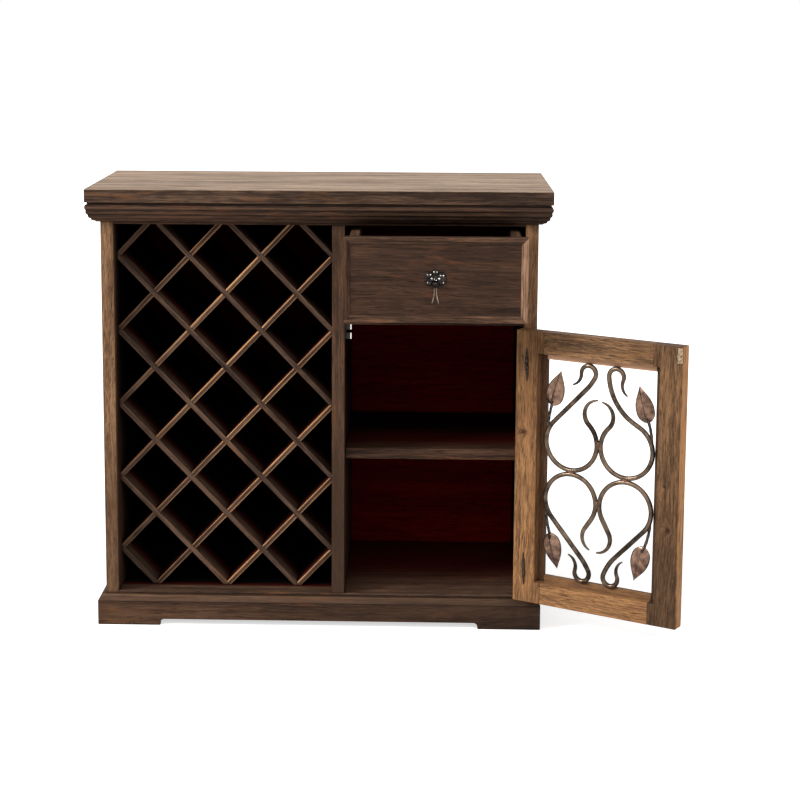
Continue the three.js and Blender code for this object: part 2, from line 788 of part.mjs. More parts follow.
function buildDrawer() {
  const drawer = new THREE.Group();
  drawer.position.y = -drawerPulledOut;
  cabinet.add(drawer);

  const low = rightBayLeft + drawerSideGap;
  const high = innerRight - drawerSideGap;
  const bottom = drawerRailTop + drawerBottomGap;
  const top = baysTop - drawerTopGap;
  const panelFace = mouldingProud;
  const frontBack = panelFace + drawerFrontThickness;
  addBoard(drawer, "drawer_front", [low, panelFace, bottom], [high, frontBack, top], darkWood);

  const centreX = (low + high) / 2;
  const centreZ = (bottom + top) / 2;
  const outline = drawerMouldingOutline();
  const corners = [[-1, -1], [1, -1], [1, 1], [-1, 1]];
  const rings = corners.map(([signX, signZ]) =>
    outline.map(([inset, proud]) =>
      new THREE.Vector3(signX * ((high - low) / 2 - inset), -proud, signZ * ((top - bottom) / 2 - inset)),
    ),
  );
  const moulding = addPiece(drawer, "drawer_moulding", skin(rings), darkWood);
  moulding.position.set(centreX, panelFace, centreZ);

  const boxLeft = rightBayLeft + slideSpace;
  const boxRight = innerRight - slideSpace;
  const boxFront = frontBack + seat;
  const boxBack = frontBack + boxLength;
  const boxLow = bottom + boxBelowFront;
  const boxHigh = top - boxTopDrop;
  const sideInner = [boxLeft + boxSideThickness, boxRight - boxSideThickness];
  for (const [side, sideLow, sideHigh] of [["left", boxLeft, sideInner[0]], ["right", sideInner[1], boxRight]]) {
    addBoard(
      drawer,
      `drawer_${side}_side`,
      [sideLow, boxFront, boxLow],
      [sideHigh, boxBack, boxHigh],
      boxWood,
    );
  }
  const backFront = boxBack - boxBackThickness;
  addBoard(
    drawer,
    "drawer_back",
    [sideInner[0] + seat, backFront, boxLow],
    [sideInner[1] - seat, boxBack, boxHigh],
    boxWood,
  );
  addBoard(
    drawer,
    "drawer_bottom",
    [sideInner[0] + seat, boxFront, boxLow + boxBottomRise],
    [sideInner[1] - seat, backFront - seat, boxLow + boxBottomRise + boxBottomThickness],
    boxWood,
  );
  addPull(drawer, "drawer_pull", centreX, panelFace, centreZ + pullAbovePanelCentre);
  buildSlides(drawer, frontBack + slideFrontGap, boxBack, (boxLow + boxHigh) / 2);
}

// A channel in section, open towards +X: web at X = 0, flanges of the given depth.
function channelOutline(depth, halfHeight) {
  return [
    [0, -halfHeight],
    [depth, -halfHeight],
    [depth, slideSheet - halfHeight],
    [slideSheet, slideSheet - halfHeight],
    [slideSheet, halfHeight - slideSheet],
    [depth, halfHeight - slideSheet],
    [depth, halfHeight],
    [0, halfHeight],
  ];
}

function buildSlides(drawer, front, back, centreZ) {
  const outer = channelOutline(slideChannelDepth, slideHeight / 2);
  const inner = channelOutline(slideChannelDepth, slideHeight / 2 - slideSheet - slideRunning);
  for (const [side, wall, sign] of [["left", rightBayLeft, 1], ["right", innerRight, -1]]) {
    const turned = (outline, start, direction) =>
      outline.map(([x, z]) => [start + direction * x, centreZ + z]);
    const onWall = turned(outer, wall + sign * seat, sign);
    const onDrawer = turned(inner, wall + sign * (slideSpace - seat), -sign);
    addPiece(cabinet, `slide_${side}_cabinet_channel`, prism("y", onWall, front, back), slideSteel);
    addPiece(drawer, `slide_${side}_drawer_channel`, prism("y", onDrawer, front, back), slideSteel);
  }
}

// Hinges

// One leaf and its knuckles about a vertical axis at the origin. The leaf lies on the side that sign gives.
function hingeLeaf(sign, knuckles, withPin) {
  const plateNear = doorHingeGap / 2 - hingeLeafThickness + hingeMortiseDepth - seat;
  const xs = [sign * plateNear, sign * (plateNear + hingeLeafThickness)];
  const [lowX, highX] = [Math.min(...xs), Math.max(...xs)];
  const plateFront = hingeBarrelRadius + seat;
  const plateBack = hingeLeafWidth - hingeAxisY;
  const pieces = [box([lowX, plateFront, -hingeLength / 2], [highX, plateBack, hingeLength / 2])];
  for (const [low, high] of knuckles) {
    pieces.push(rod("z", hingeBarrelRadius, low, high, roundSides));
    pieces.push(box([lowX, 0, low], [highX, plateBack, high]));
  }
  if (withPin) {
    pieces.push(rod("z", hingePinRadius, -hingeLength / 2, hingeLength / 2, smallSides));
    return join(pieces);
  }
  const bore = rod("z", hingePinRadius + hingeRunning, -hingeLength, hingeLength, smallSides);
  return cut(join(pieces), [bore]);
}

function addHinges(door) {
  const third = hingeLength / 6;
  const outerKnuckles = [[-hingeLength / 2, -third - seat], [third + seat, hingeLength / 2]];
  const names = ["upper", "lower"];
  hingeHeights.forEach((z, i) => {
    const prefix = `hinge_${names[i]}`;
    const fixed = hingeLeaf(1, outerKnuckles, true);
    const moving = hingeLeaf(-1, [[-third, third]], false);
    addPiece(cabinet, `${prefix}_cabinet_leaf`, fixed, hingeIron).position.set(hingeAxisX, hingeAxisY, z);
    addPiece(door, `${prefix}_door_leaf`, moving, hingeIron).position.z = z;
    const olive = addPiece(door, `${prefix}_olive`, buildOlive(), hingeIron);
    olive.position.set(doorRight - (stileWidth - rebateWidth) / 2, doorInnerFace + seat, z);
  });
}

// A slim spindle in two swelling halves, flat on the side that lies against the wood.
function buildOlive() {
  const half = oliveLength / 2;
  const profile = [new THREE.Vector2(0, -half)];
  for (let i = 0; i <= oliveSteps; i++) {
    const share = i / oliveSteps;
    const radius = oliveTipRadius + (oliveRadius - oliveTipRadius) * Math.sin((Math.PI / 2) * share);
    profile.push(new THREE.Vector2(radius, -half + share * (half - oliveWaistLength)));
  }
  profile.push(new THREE.Vector2(oliveWaistRadius, -oliveWaistLength / 2));
  const mirrored = profile.map((point) => new THREE.Vector2(point.x, -point.y)).reverse();
  const spindle = new THREE.LatheGeometry([...profile, ...mirrored], roundSides / 2).rotateX(Math.PI / 2);
  return cut(spindle, [box([-oliveLength, -oliveLength, -oliveLength], [oliveLength, 0, oliveLength])]);
}

// Door, built closed about the hinge axis and then turned open

const doorLeft = -doorHingeGap / 2 - doorWidth;
const doorRight = -doorHingeGap / 2;
const doorOuterFace = -hingeAxisY;
const doorInnerFace = doorOuterFace + doorThickness;

function addDoorFrame(door) {
  const rebateFront = doorInnerFace - rebateDepth;
  const inner = [doorLeft + stileWidth, doorRight - stileWidth];
  const rebateLow = doorBottom + doorRailHeight - rebateWidth;
  const rebateHigh = doorTop - doorRailHeight + rebateWidth;
  const rebate = box(
    [inner[0] - rebateWidth, rebateFront, rebateLow],
    [inner[1] + rebateWidth, doorInnerFace + overrun, rebateHigh],
  );
  const hingeStile = box([inner[1], doorOuterFace, doorBottom], [doorRight, doorInnerFace, doorTop]);
  const mortises = hingeHeights.map((z) =>
    hingeMortise(doorRight, -hingeMortiseDepth, z).translate(0, doorOuterFace, 0),
  );
  addPiece(door, "door_hinge_stile", cut(hingeStile, [rebate, ...mortises]), doorWood);
  const freeStile = box([doorLeft, doorOuterFace, doorBottom], [inner[0], doorInnerFace, doorTop]);
  addPiece(door, "door_free_stile", cut(freeStile, [rebate]), doorWood);
  for (const [name, low, high] of [
    ["door_top_rail", doorTop - doorRailHeight, doorTop],
    ["door_bottom_rail", doorBottom, doorBottom + doorRailHeight],
  ]) {
    const rail = box([inner[0] + seat, doorOuterFace, low], [inner[1] - seat, doorInnerFace, high]);
    addPiece(door, name, cut(rail, [rebate]), doorWood);
  }
}

// Scroll grille

const barRadius = barDiameter / 2;
const grilleHalfWidth = doorWidth / 2 - stileWidth + grilleLap - barRadius;
const grilleHalfHeight = doorHeight / 2 - doorRailHeight + grilleLap - barRadius;
const loopNear = barRadius - barWeld;
const loopRadius = (grilleHalfWidth - loopNear) / 2;
const loopCentre = loopNear + loopRadius;

// Points along a bar bent from a start: each bend is {length} for a straight or {radius, degrees} for an
// arc, positive to the left.
function bentLine(start, headingDegrees, bends) {
  let heading = THREE.MathUtils.degToRad(headingDegrees);
  const points = [start.clone()];
  const here = start.clone();
  for (const bend of bends) {
    const turn = THREE.MathUtils.degToRad(bend.degrees ?? 0);
    const steps = Math.ceil(turn ? Math.abs(bend.degrees) / bendStepDegrees : bend.length / barStep);
    const chord = turn ? 2 * bend.radius * Math.sin(Math.abs(turn) / steps / 2) : bend.length / steps;
    for (let i = 0; i < steps; i++) {
      const direction = heading + (turn * (i + 0.5)) / steps;
      here.add(new THREE.Vector2(Math.cos(direction), Math.sin(direction)).multiplyScalar(chord));
      points.push(here.clone());
    }
    heading += turn;
  }
  return points;
}

function onLoop(degrees) {
  const angle = THREE.MathUtils.degToRad(degrees);
  return new THREE.Vector2(
    loopCentre + loopRadius * Math.cos(angle),
    loopCentre + loopRadius * Math.sin(angle),
  );
}

// One scroll as a single bar from tip to tip: inner curl, loop, long swaying bar, hook and tail.
function scrollLine(scroll) {
  const start = onLoop(scroll.loopOuterDegrees);
  const outerHeading = scroll.loopOuterDegrees + 90;
  const hookHeading = outerHeading - scroll.swayDegrees;
  const outerCos = Math.cos(THREE.MathUtils.degToRad(outerHeading));
  const outerSin = Math.sin(THREE.MathUtils.degToRad(outerHeading));
  const hookCos = Math.cos(THREE.MathUtils.degToRad(hookHeading));
  const rise = grilleHalfHeight - hookRadius * (1 - hookCos) - start.y;
  const outer = bentLine(start, outerHeading, [
    { length: (rise * (1 - scroll.swayShare)) / outerSin },
    { radius: (rise * scroll.swayShare) / (hookCos - outerCos), degrees: -scroll.swayDegrees },
    { radius: hookRadius, degrees: -scroll.hookDegrees },
    { length: tailStraight },
    { radius: tailRadius, degrees: scroll.tailDegrees },
  ]);
  const loop = bentLine(onLoop(scroll.loopInnerDegrees), scroll.loopInnerDegrees + 90, [
    { radius: loopRadius, degrees: 360 + scroll.loopOuterDegrees - scroll.loopInnerDegrees },
  ]);
  const inner = bentLine(onLoop(scroll.loopInnerDegrees), scroll.loopInnerDegrees - 90, [
    { length: neckLength * scroll.neckShare },
    { radius: curlRadius, degrees: scroll.curlDegrees },
  ]);
  return [...inner.reverse(), ...loop.slice(1), ...outer.slice(1)];
}

// The distance along the bar from its nearer tip, at each point.
function lengthFromTips(points) {
  const along = [0];
  for (let i = 1; i < points.length; i++) along.push(along[i - 1] + points[i].distanceTo(points[i - 1]));
  const whole = along[along.length - 1];
  return along.map((length) => Math.min(length, whole - length));
}

// A pointed leaf with a raised midrib, from its base at the origin to its tip along +Z.
function buildLeaf(length) {
  const rows = leafHalfWidthShares.length - 1;
  const point = (row, acrossShare, face) => {
    const widthShare = leafHalfWidthShares[row];
    const ridge = leafRidge * (1 - Math.abs(acrossShare)) * widthShare;
    const swell = face * (leafThickness / 2) * (1 - acrossShare * acrossShare) * widthShare;
    const halfWidth = (length * leafWidthShare * widthShare) / 2;
    return new THREE.Vector3(acrossShare * halfWidth, ridge + swell, (length * row) / rows);
  };
  const acrossShares = [[-1, 0], [-0.5, 1], [0, 1], [0.5, 1], [1, 0], [0.5, -1], [0, -1], [-0.5, -1]];
  const rings = [];
  for (let row = 1; row < rows; row++) {
    rings.push(acrossShares.map(([share, face]) => point(row, share, face)));
  }
  return fanEnds([point(0, 0, 0), ...rings, point(rows, 0, 0)]);
}

// A closed skin through rings that ends in a single point at each end.
function fanEnds([first, ...rest]) {
  const last = rest.pop();
  const count = rest[0].length;
  const index = [];
  for (let ring = 0; ring < rest.length - 1; ring++) {
    for (let i = 0; i < count; i++) {
      const j = (i + 1) % count;
      const [here, next] = [1 + ring * count, 1 + (ring + 1) * count];
      index.push(here + i, here + j, next + j, here + i, next + j, next + i);
    }
  }
  const end = 1 + rest.length * count;
  const lastRing = end - count;
  for (let i = 0; i < count; i++) {
    const j = (i + 1) % count;
    index.push(0, 1 + j, 1 + i, end, lastRing + i, lastRing + j);
  }
  const geometry = new THREE.BufferGeometry().setFromPoints([first, ...rest.flat(), last]);
  geometry.setIndex(index);
  return facingOut(geometry);
}

// One scroll with its leaf, in the plane Y = 0, as it stands in the quarter where X and Z are positive.
function grilleQuarter(scroll) {
  const line = scrollLine(scroll);
  const fromTip = lengthFromTips(line);
  const points = line.map(({ x, y }) => new THREE.Vector3(x, 0, y));
  const radiusAt = (i) => {
    const share = Math.min(1, fromTip[i] / barTipLength);
    return (barTipDiameter + (barDiameter - barTipDiameter) * Math.sin((Math.PI / 2) * share)) / 2;
  };

  const root = onLoop(scroll.stemAtDegrees);
  const height = grilleHalfHeight + barRadius - leafTipClearance - loopCentre;
  const stemHeight = loopCentre + height * scroll.stemTopShare - root.y;
  const stemReach = stemHeight * Math.tan(THREE.MathUtils.degToRad(scroll.stemLeanDegrees));
  const stemSteps = Math.ceil(stemHeight / stemStep);
  const stem = Array.from({ length: stemSteps + 1 }, (_, i) => {
    const share = i / stemSteps;
    return new THREE.Vector3(root.x - share * share * stemReach, 0, root.y + share * stemHeight);
  });
  const base = stem[stemSteps];
  const leaf = buildLeaf(height * leafHeightShare).rotateY(-THREE.MathUtils.degToRad(scroll.leafLeanDegrees));
  leaf.translate(base.x, 0, base.z - stemRadius);

  const pieces = [
    bar(points, radiusAt, barSides, unitY),
    bar(stem, () => stemRadius, stemSides, unitY, stemStepDegrees),
    leaf,
  ];
  return join(pieces);
}

function addGrille(door) {
  const quarters = scrolls.map((scroll) => {
    const turned = grilleQuarter(scroll).scale(scroll.side, 1, scroll.end);
    return facingOut(turned);
  });
  const grille = addPiece(door, "scroll_grille", join(quarters), grilleIron);
  // The outermost bars rest on the inner arris of the rebate's lip.
  const barToArris = barRadius * Math.cos(Math.PI / barSides) + seat;
  const aboveLip = Math.sqrt(barToArris ** 2 - (barRadius - grilleLap) ** 2);
  const lipBack = doorInnerFace - rebateDepth;
  grille.position.set((doorLeft + doorRight) / 2, lipBack + aboveLip, (doorTop + doorBottom) / 2);
}

// Catch and strike

const catchCentre = cupboardTop - catchBelowRail - catchHeight / 2;
const strikeX = rightBayLeft + doorFreeGap + strikeFromEdge;

function buildCatch() {
  const wall = rightBayLeft + seat;
  const front = doorThickness + seat + strikeThickness + catchBehindStrike;
  const back = front + catchDepth;
  const [low, high] = [catchCentre - catchHeight / 2, catchCentre + catchHeight / 2];
  const pieces = [box([wall, front, low], [wall + catchPlate, back, high])];
  for (const sign of [-1, 1]) {
    const zs = [catchCentre + (sign * catchMouth) / 2, catchCentre + (sign * catchHeight) / 2];
    pieces.push(box([wall, front, Math.min(...zs)], [wall + catchWidth, back, Math.max(...zs)]));
    const ballZ = catchCentre + sign * (catchMouth / 2 + catchBallRadius - catchBallShows);
    const radii = [catchBallRadius, catchBallRadius, catchBallRadius];
    pieces.push(ball(radii, [strikeX, (front + back) / 2, ballZ], smallSides));
  }
  addPiece(cabinet, "catch_body", join(pieces), catchSteel);
}

function addStrike(door) {
  const x = strikeX - hingeAxisX;
  const face = doorInnerFace + seat;
  const z = catchCentre;
  const pieces = [
    box(
      [x - strikeWidth / 2, face, z - strikeHeight / 2],
      [x + strikeWidth / 2, face + strikeThickness, z + strikeHeight / 2],
    ),
    box(
      [x - tongueWidth / 2, face, z - tongueThickness / 2],
      [x + tongueWidth / 2, face + strikeThickness + tongueLength, z + tongueThickness / 2],
    ),
  ];
  for (const sign of [-1, 1]) {
    const screw = rod("y", strikeScrewRadius, face, face + strikeThickness + strikeScrewHeight, smallSides);
    pieces.push(screw.translate(x, 0, z + (sign * strikeScrewSpacing) / 2));
  }
  addPiece(door, "catch_strike", join(pieces), catchSteel);
}

function buildDoor() {
  const door = new THREE.Group();
  door.position.set(hingeAxisX, hingeAxisY, 0);
  door.rotation.z = THREE.MathUtils.degToRad(doorOpenDegrees);
  cabinet.add(door);
  addDoorFrame(door);
  addGrille(door);
  addHinges(door);
  addStrike(door);
  addPull(door, "door_pull", doorLeft + stileWidth / 2, doorOuterFace, (doorTop + doorBottom) / 2);
}

buildCarcass();
buildTop();
buildPlinth();
buildLattice();
buildDrawer();
buildCatch();
buildDoor();

// The part stands on Z = 0 with its whole outline, door and drawer open, centred on X = 0 and Y = 0.
const extent = new THREE.Box3().setFromObject(cabinet, true);
const middle = extent.getCenter(new THREE.Vector3());
cabinet.position.set(-middle.x, -middle.y, 0);

const wineCabinet = new THREE.Group();
wineCabinet.add(cabinet);

export default wineCabinet;
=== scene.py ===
# Wine cabinet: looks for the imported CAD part. Metres, Z up.
import math

import bmesh
import bpy
from mathutils import Matrix, Vector


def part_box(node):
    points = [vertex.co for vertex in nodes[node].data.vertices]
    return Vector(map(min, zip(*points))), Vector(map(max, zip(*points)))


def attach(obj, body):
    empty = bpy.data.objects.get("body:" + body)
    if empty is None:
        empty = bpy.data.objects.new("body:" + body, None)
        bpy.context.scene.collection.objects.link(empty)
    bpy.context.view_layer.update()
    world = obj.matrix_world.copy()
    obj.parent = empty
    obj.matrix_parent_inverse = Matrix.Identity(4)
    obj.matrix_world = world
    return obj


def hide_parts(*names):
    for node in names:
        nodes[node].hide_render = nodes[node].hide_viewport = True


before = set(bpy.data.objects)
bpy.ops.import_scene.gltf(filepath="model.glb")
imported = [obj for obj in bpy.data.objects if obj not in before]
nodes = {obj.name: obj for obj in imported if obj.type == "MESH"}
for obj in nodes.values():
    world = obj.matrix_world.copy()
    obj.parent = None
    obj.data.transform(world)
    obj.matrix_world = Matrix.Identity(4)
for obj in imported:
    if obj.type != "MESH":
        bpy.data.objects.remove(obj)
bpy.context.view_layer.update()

MM = 0.001
top_low, top_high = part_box("top_board")
back_low, back_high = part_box("back_panel")
CARCASS = Vector(((top_low.x + top_high.x) / 2, top_low.y + 28 * MM, 0))
DOOR_OPEN = math.radians(149)


# Door, in millimetres about the hinge axis with the door closed, as the CAD part has it

DOOR_AXIS = CARCASS + Vector((418, -3.9, 0)) * MM
DOOR = Matrix.Translation(DOOR_AXIS) @ Matrix.Rotation(DOOR_OPEN, 4, "Z") @ Matrix.Scale(MM, 4)
DOOR_LEFT, DOOR_RIGHT = -362.5, -1.0
DOOR_OUTER, DOOR_INNER = 3.9, 31.9
STILE, RAIL, REBATE, LAP = 61.0, 57.5, 13.0, 2.0
DOOR_MIDDLE_Z = 353.5
DOOR_HEIGHT = 565.0


def on_door(x, z, radius, pull):
    """A knot at a place on the door's inner face."""
    place = DOOR @ Vector((x, DOOR_INNER, z))
    return place.x, place.z, radius * MM, pull


# Colours and material nodes

def linear(red, green, blue):
    """A colour as it looks, 0 to 255 a channel, as scene-linear values."""
    return tuple(((c / 255 + 0.055) / 1.055) ** 2.4 if c > 10 else c / 255 / 12.92 for c in (red, green, blue))


# Painted light on the door's free edge.
EDGE_LIGHT = linear(176, 124, 76)


class Nodes:
    """Short ways to add and link the nodes of one tree."""

    def __init__(self, tree):
        self.tree = tree

    def add(self, kind, **values):
        node = self.tree.nodes.new(kind)
        for name, value in values.items():
            setattr(node, name, value)
        return node

    def put(self, socket, value):
        if isinstance(value, bpy.types.NodeSocket):
            self.tree.links.new(value, socket)
        elif isinstance(value, tuple) and len(value) == 3 and len(socket.default_value) == 4:
            socket.default_value = (*value, 1)
        else:
            socket.default_value = value

    def noise(self, vector, scale=1.0, detail=3.0, roughness=0.55):
        node = self.add("ShaderNodeTexNoise")
        self.put(node.inputs["Vector"], vector)
        node.inputs["Scale"].default_value = scale
        node.inputs["Detail"].default_value = detail
        node.inputs["Roughness"].default_value = roughness
        return node.outputs["Fac"]

    def math(self, operation, a, b=0.0, clamp=False):
        node = self.add("ShaderNodeMath", operation=operation, use_clamp=clamp)
        self.put(node.inputs[0], a)
        self.put(node.inputs[1], b)
        return node.outputs[0]

    def weigh(self, *pairs):
        """The sum of values times their weights."""
        total = 0.0
        for value, weight in pairs:
            total = self.math("ADD", total, self.math("MULTIPLY", value, weight))
        return total

    def span(self, value, low, high, to_low=0.0, to_high=1.0):
        node = self.add("ShaderNodeMapRange", interpolation_type="SMOOTHSTEP")
        self.put(node.inputs["Value"], value)
        for name, number in (("From Min", low), ("From Max", high), ("To Min", to_low), ("To Max", to_high)):
            node.inputs[name].default_value = number
        return node.outputs["Result"]

    def ramp(self, value, *stops):
        node = self.add("ShaderNodeValToRGB")
        self.put(node.inputs["Fac"], value)
        elements = node.color_ramp.elements
        while len(elements) < len(stops):
            elements.new(0.5)
        for element, (place, colour) in zip(elements, stops):
            element.position = place
            element.color = (*colour, 1)
        return node.outputs["Color"]

    def mix(self, share, a, b, blend="MIX"):
        node = self.add("ShaderNodeMix", data_type="RGBA", blend_type=blend)
        self.put(node.inputs["Factor"], share)
        self.put(node.inputs[6], a)
        self.put(node.inputs[7], b)
        return node.outputs[2]

    def here(self):
        return self.add("ShaderNodeTexCoord").outputs["Object"]

    def turned(self, vector, rotation):
        node = self.add("ShaderNodeMapping", vector_type="TEXTURE")
        self.put(node.inputs["Vector"], vector)
        node.inputs["Rotation"].default_value = rotation
        return node.outputs[0]

    def scaled(self, vector, scale, location=(0, 0, 0)):
        node = self.add("ShaderNodeMapping", vector_type="POINT")
        self.put(node.inputs["Vector"], vector)
        node.inputs["Scale"].default_value = scale
        node.inputs["Location"].default_value = location
        return node.outputs[0]

    def parts(self, vector):
        node = self.add("ShaderNodeSeparateXYZ")
        self.put(node.inputs[0], vector)
        return node.outputs

    def apart(self, place, x, z, tall):
        """The distance, seen from the front, from a point at x and z."""
        node = self.add("ShaderNodeVectorMath", operation="DISTANCE")
        self.put(node.inputs[0], self.scaled(place, (1, 0, tall)))
        node.inputs[1].default_value = (x, 0, z * tall)
        return node.outputs["Value"]

    def crevice(self, distance, samples=6):
        """0 on open faces, towards 1 in corners and seams."""
        node = self.add("ShaderNodeAmbientOcclusion", samples=samples)
        node.inputs["Distance"].default_value = distance
        return self.span(node.outputs["AO"], 0.35, 0.85, 1.0, 0.0)

    def seen(self):
        """1 where the camera sees this itself, or in metal or through glass, and 0 where it only lights."""
        path = self.add("ShaderNodeLightPath").outputs
        shown = self.math("MAXIMUM", path["Is Camera Ray"], path["Is Glossy Ray"])
        return self.math("MAXIMUM", shown, path["Is Transmission Ray"])

    def bump(self, height, strength, distance):
        node = self.add("ShaderNodeBump")
        node.inputs["Strength"].default_value = strength
        node.inputs["Distance"].default_value = distance
        self.put(node.inputs["Height"], height)
        return node.outputs[0]


def new_material(name):
    material = bpy.data.materials.new(name)
    material.use_nodes = True
    tree = material.node_tree
    tree.nodes.clear()
    n = Nodes(tree)
    shader = n.add("ShaderNodeBsdfPrincipled")
    output = n.add("ShaderNodeOutputMaterial")
    tree.links.new(shader.outputs[0], output.inputs["Surface"])
    return material, n, shader


ALONG_X = (0, 0, 0)
ALONG_Y = (0, 0, math.radians(90))
ALONG_Z = (0, math.radians(-90), 0)
ALONG_DOOR = (0, 0, DOOR_OPEN)
SLOPE = math.atan2(778.4 / 10, 445.4 / 6)
FALLING = (0, SLOPE, 0)
RISING = (0, -SLOPE, 0)
UPPER_LEFT = (-math.sin(SLOPE), 0, math.cos(SLOPE))


def wood(name, grain, stain, shift, gloss=0.55, specular=0.08, depth_shade=None, falloff_shade=0.0, knots=(), face=None,
         rebate_shading=None, glow=0.6, figure=(0.28, 0.38, 0.34), spread=0.10, shade=None, lit=None, short=0.45,
         light_and_shade_bands=()):
    """Stained, brushed wood. Its fibres run along local X once turned by grain. The stain is (dark, middle,
    light, ember): ember is the warm wood that shows where the stain is rubbed thin, as much as glow says.
    depth_shade = (start, end, colour, reach), ... is painted shade behind the front, darker where the recesses
    fall into shade, only between two places on X where reach isn't None. falloff_shade darkens towards the
    cabinet's right, a painted falloff of the light from the left, shade = (from z, to z, share) upwards or downwards.
    face = (axis, place, stain) is the colour of a top or back face; the top board's is a lighter copy of the wood,
    painted sheen and light from above. rebate_shading = (ledge, wall, colour) tints the door's opening: a dark
    colour is painted shade, a pale one painted light; the door's free edge gets a painted light too. knots = (x, z,
    radius, pull on the fibres). figure weighs the broad, middle and fine grain, and short is how short its strokes
    are. lit = (direction, middle, half, front, colour) is a painted highlight along one arris at the front.
    light_and_shade_bands = (low z, high z, colour, share) are level lines of painted shade in grooves and painted
    highlight on crowns and bevels."""
    dark, middle, light, ember = stain
    material, n, shader = new_material(name)
    place = n.here()
    parts = n.parts(place)
    base = n.scaled(n.turned(place, grain), (1, 1, 1), (shift * 1.37, shift * 0.61, shift * 0.83))
    sway = n.noise(n.scaled(base, (1.8, 6.0, 6.0)), detail=2.0)
    bent = n.add("ShaderNodeVectorMath", operation="MULTIPLY_ADD")
    n.put(bent.inputs[0], sway)
    bent.inputs[1].default_value = (0, 0.035, 0.035)
    n.put(bent.inputs[2], base)
    fibres = bent.outputs[0]
    for x, z, radius, strength in knots:
        pull = n.span(n.apart(place, x, z, 1.0), 0.0, radius * 3.0, strength, 0.0)
        away = n.add("ShaderNodeVectorMath", operation="ADD")
        n.put(away.inputs[0], fibres)
        pushed = n.add("ShaderNodeCombineXYZ")
        n.put(pushed.inputs["Y"], pull)
        n.put(pushed.inputs["Z"], pull)
        n.put(away.inputs[1], pushed.outputs[0])
        fibres = away.outputs[0]

    broad = n.noise(n.scaled(fibres, (2.4 * short, 26.0, 26.0)), detail=4.0, roughness=0.6)
    streak = n.noise(n.scaled(fibres, (8.0 * short, 120.0, 120.0)), detail=5.0, roughness=0.68)
    fine = n.noise(n.scaled(fibres, (42.0 * short, 330.0, 330.0)), detail=4.0, roughness=0.75)
    pores = n.noise(n.scaled(fibres, (60.0 * short, 700.0, 700.0)), detail=1.0)
    blotch = n.noise(base, 7.0, 3.0, 0.6)
    rubbed = n.noise(n.scaled(base, (9.0, 62.0, 62.0), (3.1, 7.7, 1.9)), detail=5.0, roughness=0.68)

    tone = n.weigh((broad, figure[0]), (streak, figure[1]), (fine, figure[2]))
    tone = n.span(tone, 0.5 - spread, 0.5 + spread)
    colour = n.ramp(tone, (0.0, dark), (0.5, middle), (1.0, light))
    colour = n.mix(n.span(rubbed, 0.54, 0.68, 0.0, glow), colour, ember)
    colour = n.mix(n.span(blotch, 0.46, 0.70, 0.0, 0.3), colour, dark)
    pore = n.span(pores, 0.58, 0.70, 0.0, 0.7)
    colour = n.mix(pore, colour, tuple(c * 0.3 for c in dark))
    # A top or back face gets its own colour; the top board's lighter one is painted light and sheen from above.
    if face is not None:
        axis, height, (face_dark, face_middle, face_light, face_ember) = face
        skin = n.ramp(tone, (0.0, face_dark), (0.5, face_middle), (1.0, face_light))
        skin = n.mix(n.span(rubbed, 0.52, 0.68, 0.0, 0.5), skin, face_ember)
        colour = n.mix(n.span(parts[axis], height - 0.0014, height - 0.0006), colour, skin)
    # Painted shade and painted highlight in level bands.
    for low, high, tint, most in light_and_shade_bands:
        inside = n.math("MULTIPLY", n.math("GREATER_THAN", parts["Z"], low * MM), n.math("LESS_THAN", parts["Z"], high * MM))
        colour = n.mix(n.math("MULTIPLY", inside, n.span(streak, 0.3, 0.6, most * 0.6, most)), colour, tint)
    for x, z, radius, _ in knots:
        ragged = n.weigh((n.apart(place, x, z, 0.8), 1.0), (n.noise(place, 160.0), radius * 0.9))
        ring = n.span(ragged, radius * 0.75, radius * 1.7, 0.85, 0.0)
        colour = n.mix(ring, colour, tuple(c * 0.45 for c in dark))
    # Painted highlight along one arris at the front, fading with depth and towards the left.
    if lit is not None:
        direction, middle_at, half, front, bright = lit
        across = n.add("ShaderNodeVectorMath", operation="DOT_PRODUCT")
        n.put(across.inputs[0], place)
        across.inputs[1].default_value = direction
        offset = n.math("SUBTRACT", across.outputs["Value"], middle_at)
        ragged = n.weigh((offset, 1.0), (n.math("SUBTRACT", broad, 0.5), 0.006))
        painted_light = n.span(ragged, half - 2.7 * MM, half - 1.7 * MM)
        painted_light = n.math("MAXIMUM", painted_light, n.span(ragged, -half + 1.1 * MM, -half + 2.1 * MM, 0.45, 0.0))
        painted_light = n.math("MULTIPLY", painted_light, n.span(parts["X"], CARCASS.x - 0.44, CARCASS.x - 0.16, 0.12, 0.9))
        painted_light = n.math("MULTIPLY", painted_light, n.span(rubbed, 0.30, 0.56, 0.35, 1.0))
        painted_light = n.math("MULTIPLY", painted_light, n.math("LESS_THAN", parts["Y"], front + 0.9 * MM))
        colour = n.mix(painted_light, colour, bright)
    # Painted shade: maroon, then near black, behind the front, where the recesses fall into shade.
    for start, end, deep, reach in depth_shade or ():
        share = n.span(parts["Y"], CARCASS.y + start * MM, CARCASS.y + end * MM)
        if reach:
            share = n.math("MULTIPLY", share, n.math("GREATER_THAN", parts["X"], CARCASS.x + reach[0] * MM))
            share = n.math("MULTIPLY", share, n.math("LESS_THAN", parts["X"], CARCASS.x + reach[1] * MM))
        colour = n.mix(share, colour, deep)
    if shade is not None:
        start, end, most = shade
        share = n.span(parts["Z"], start, end) if start < end else n.span(parts["Z"], end, start, 1.0, 0.0)
        colour = n.mix(n.math("MULTIPLY", share, most), colour, dark)
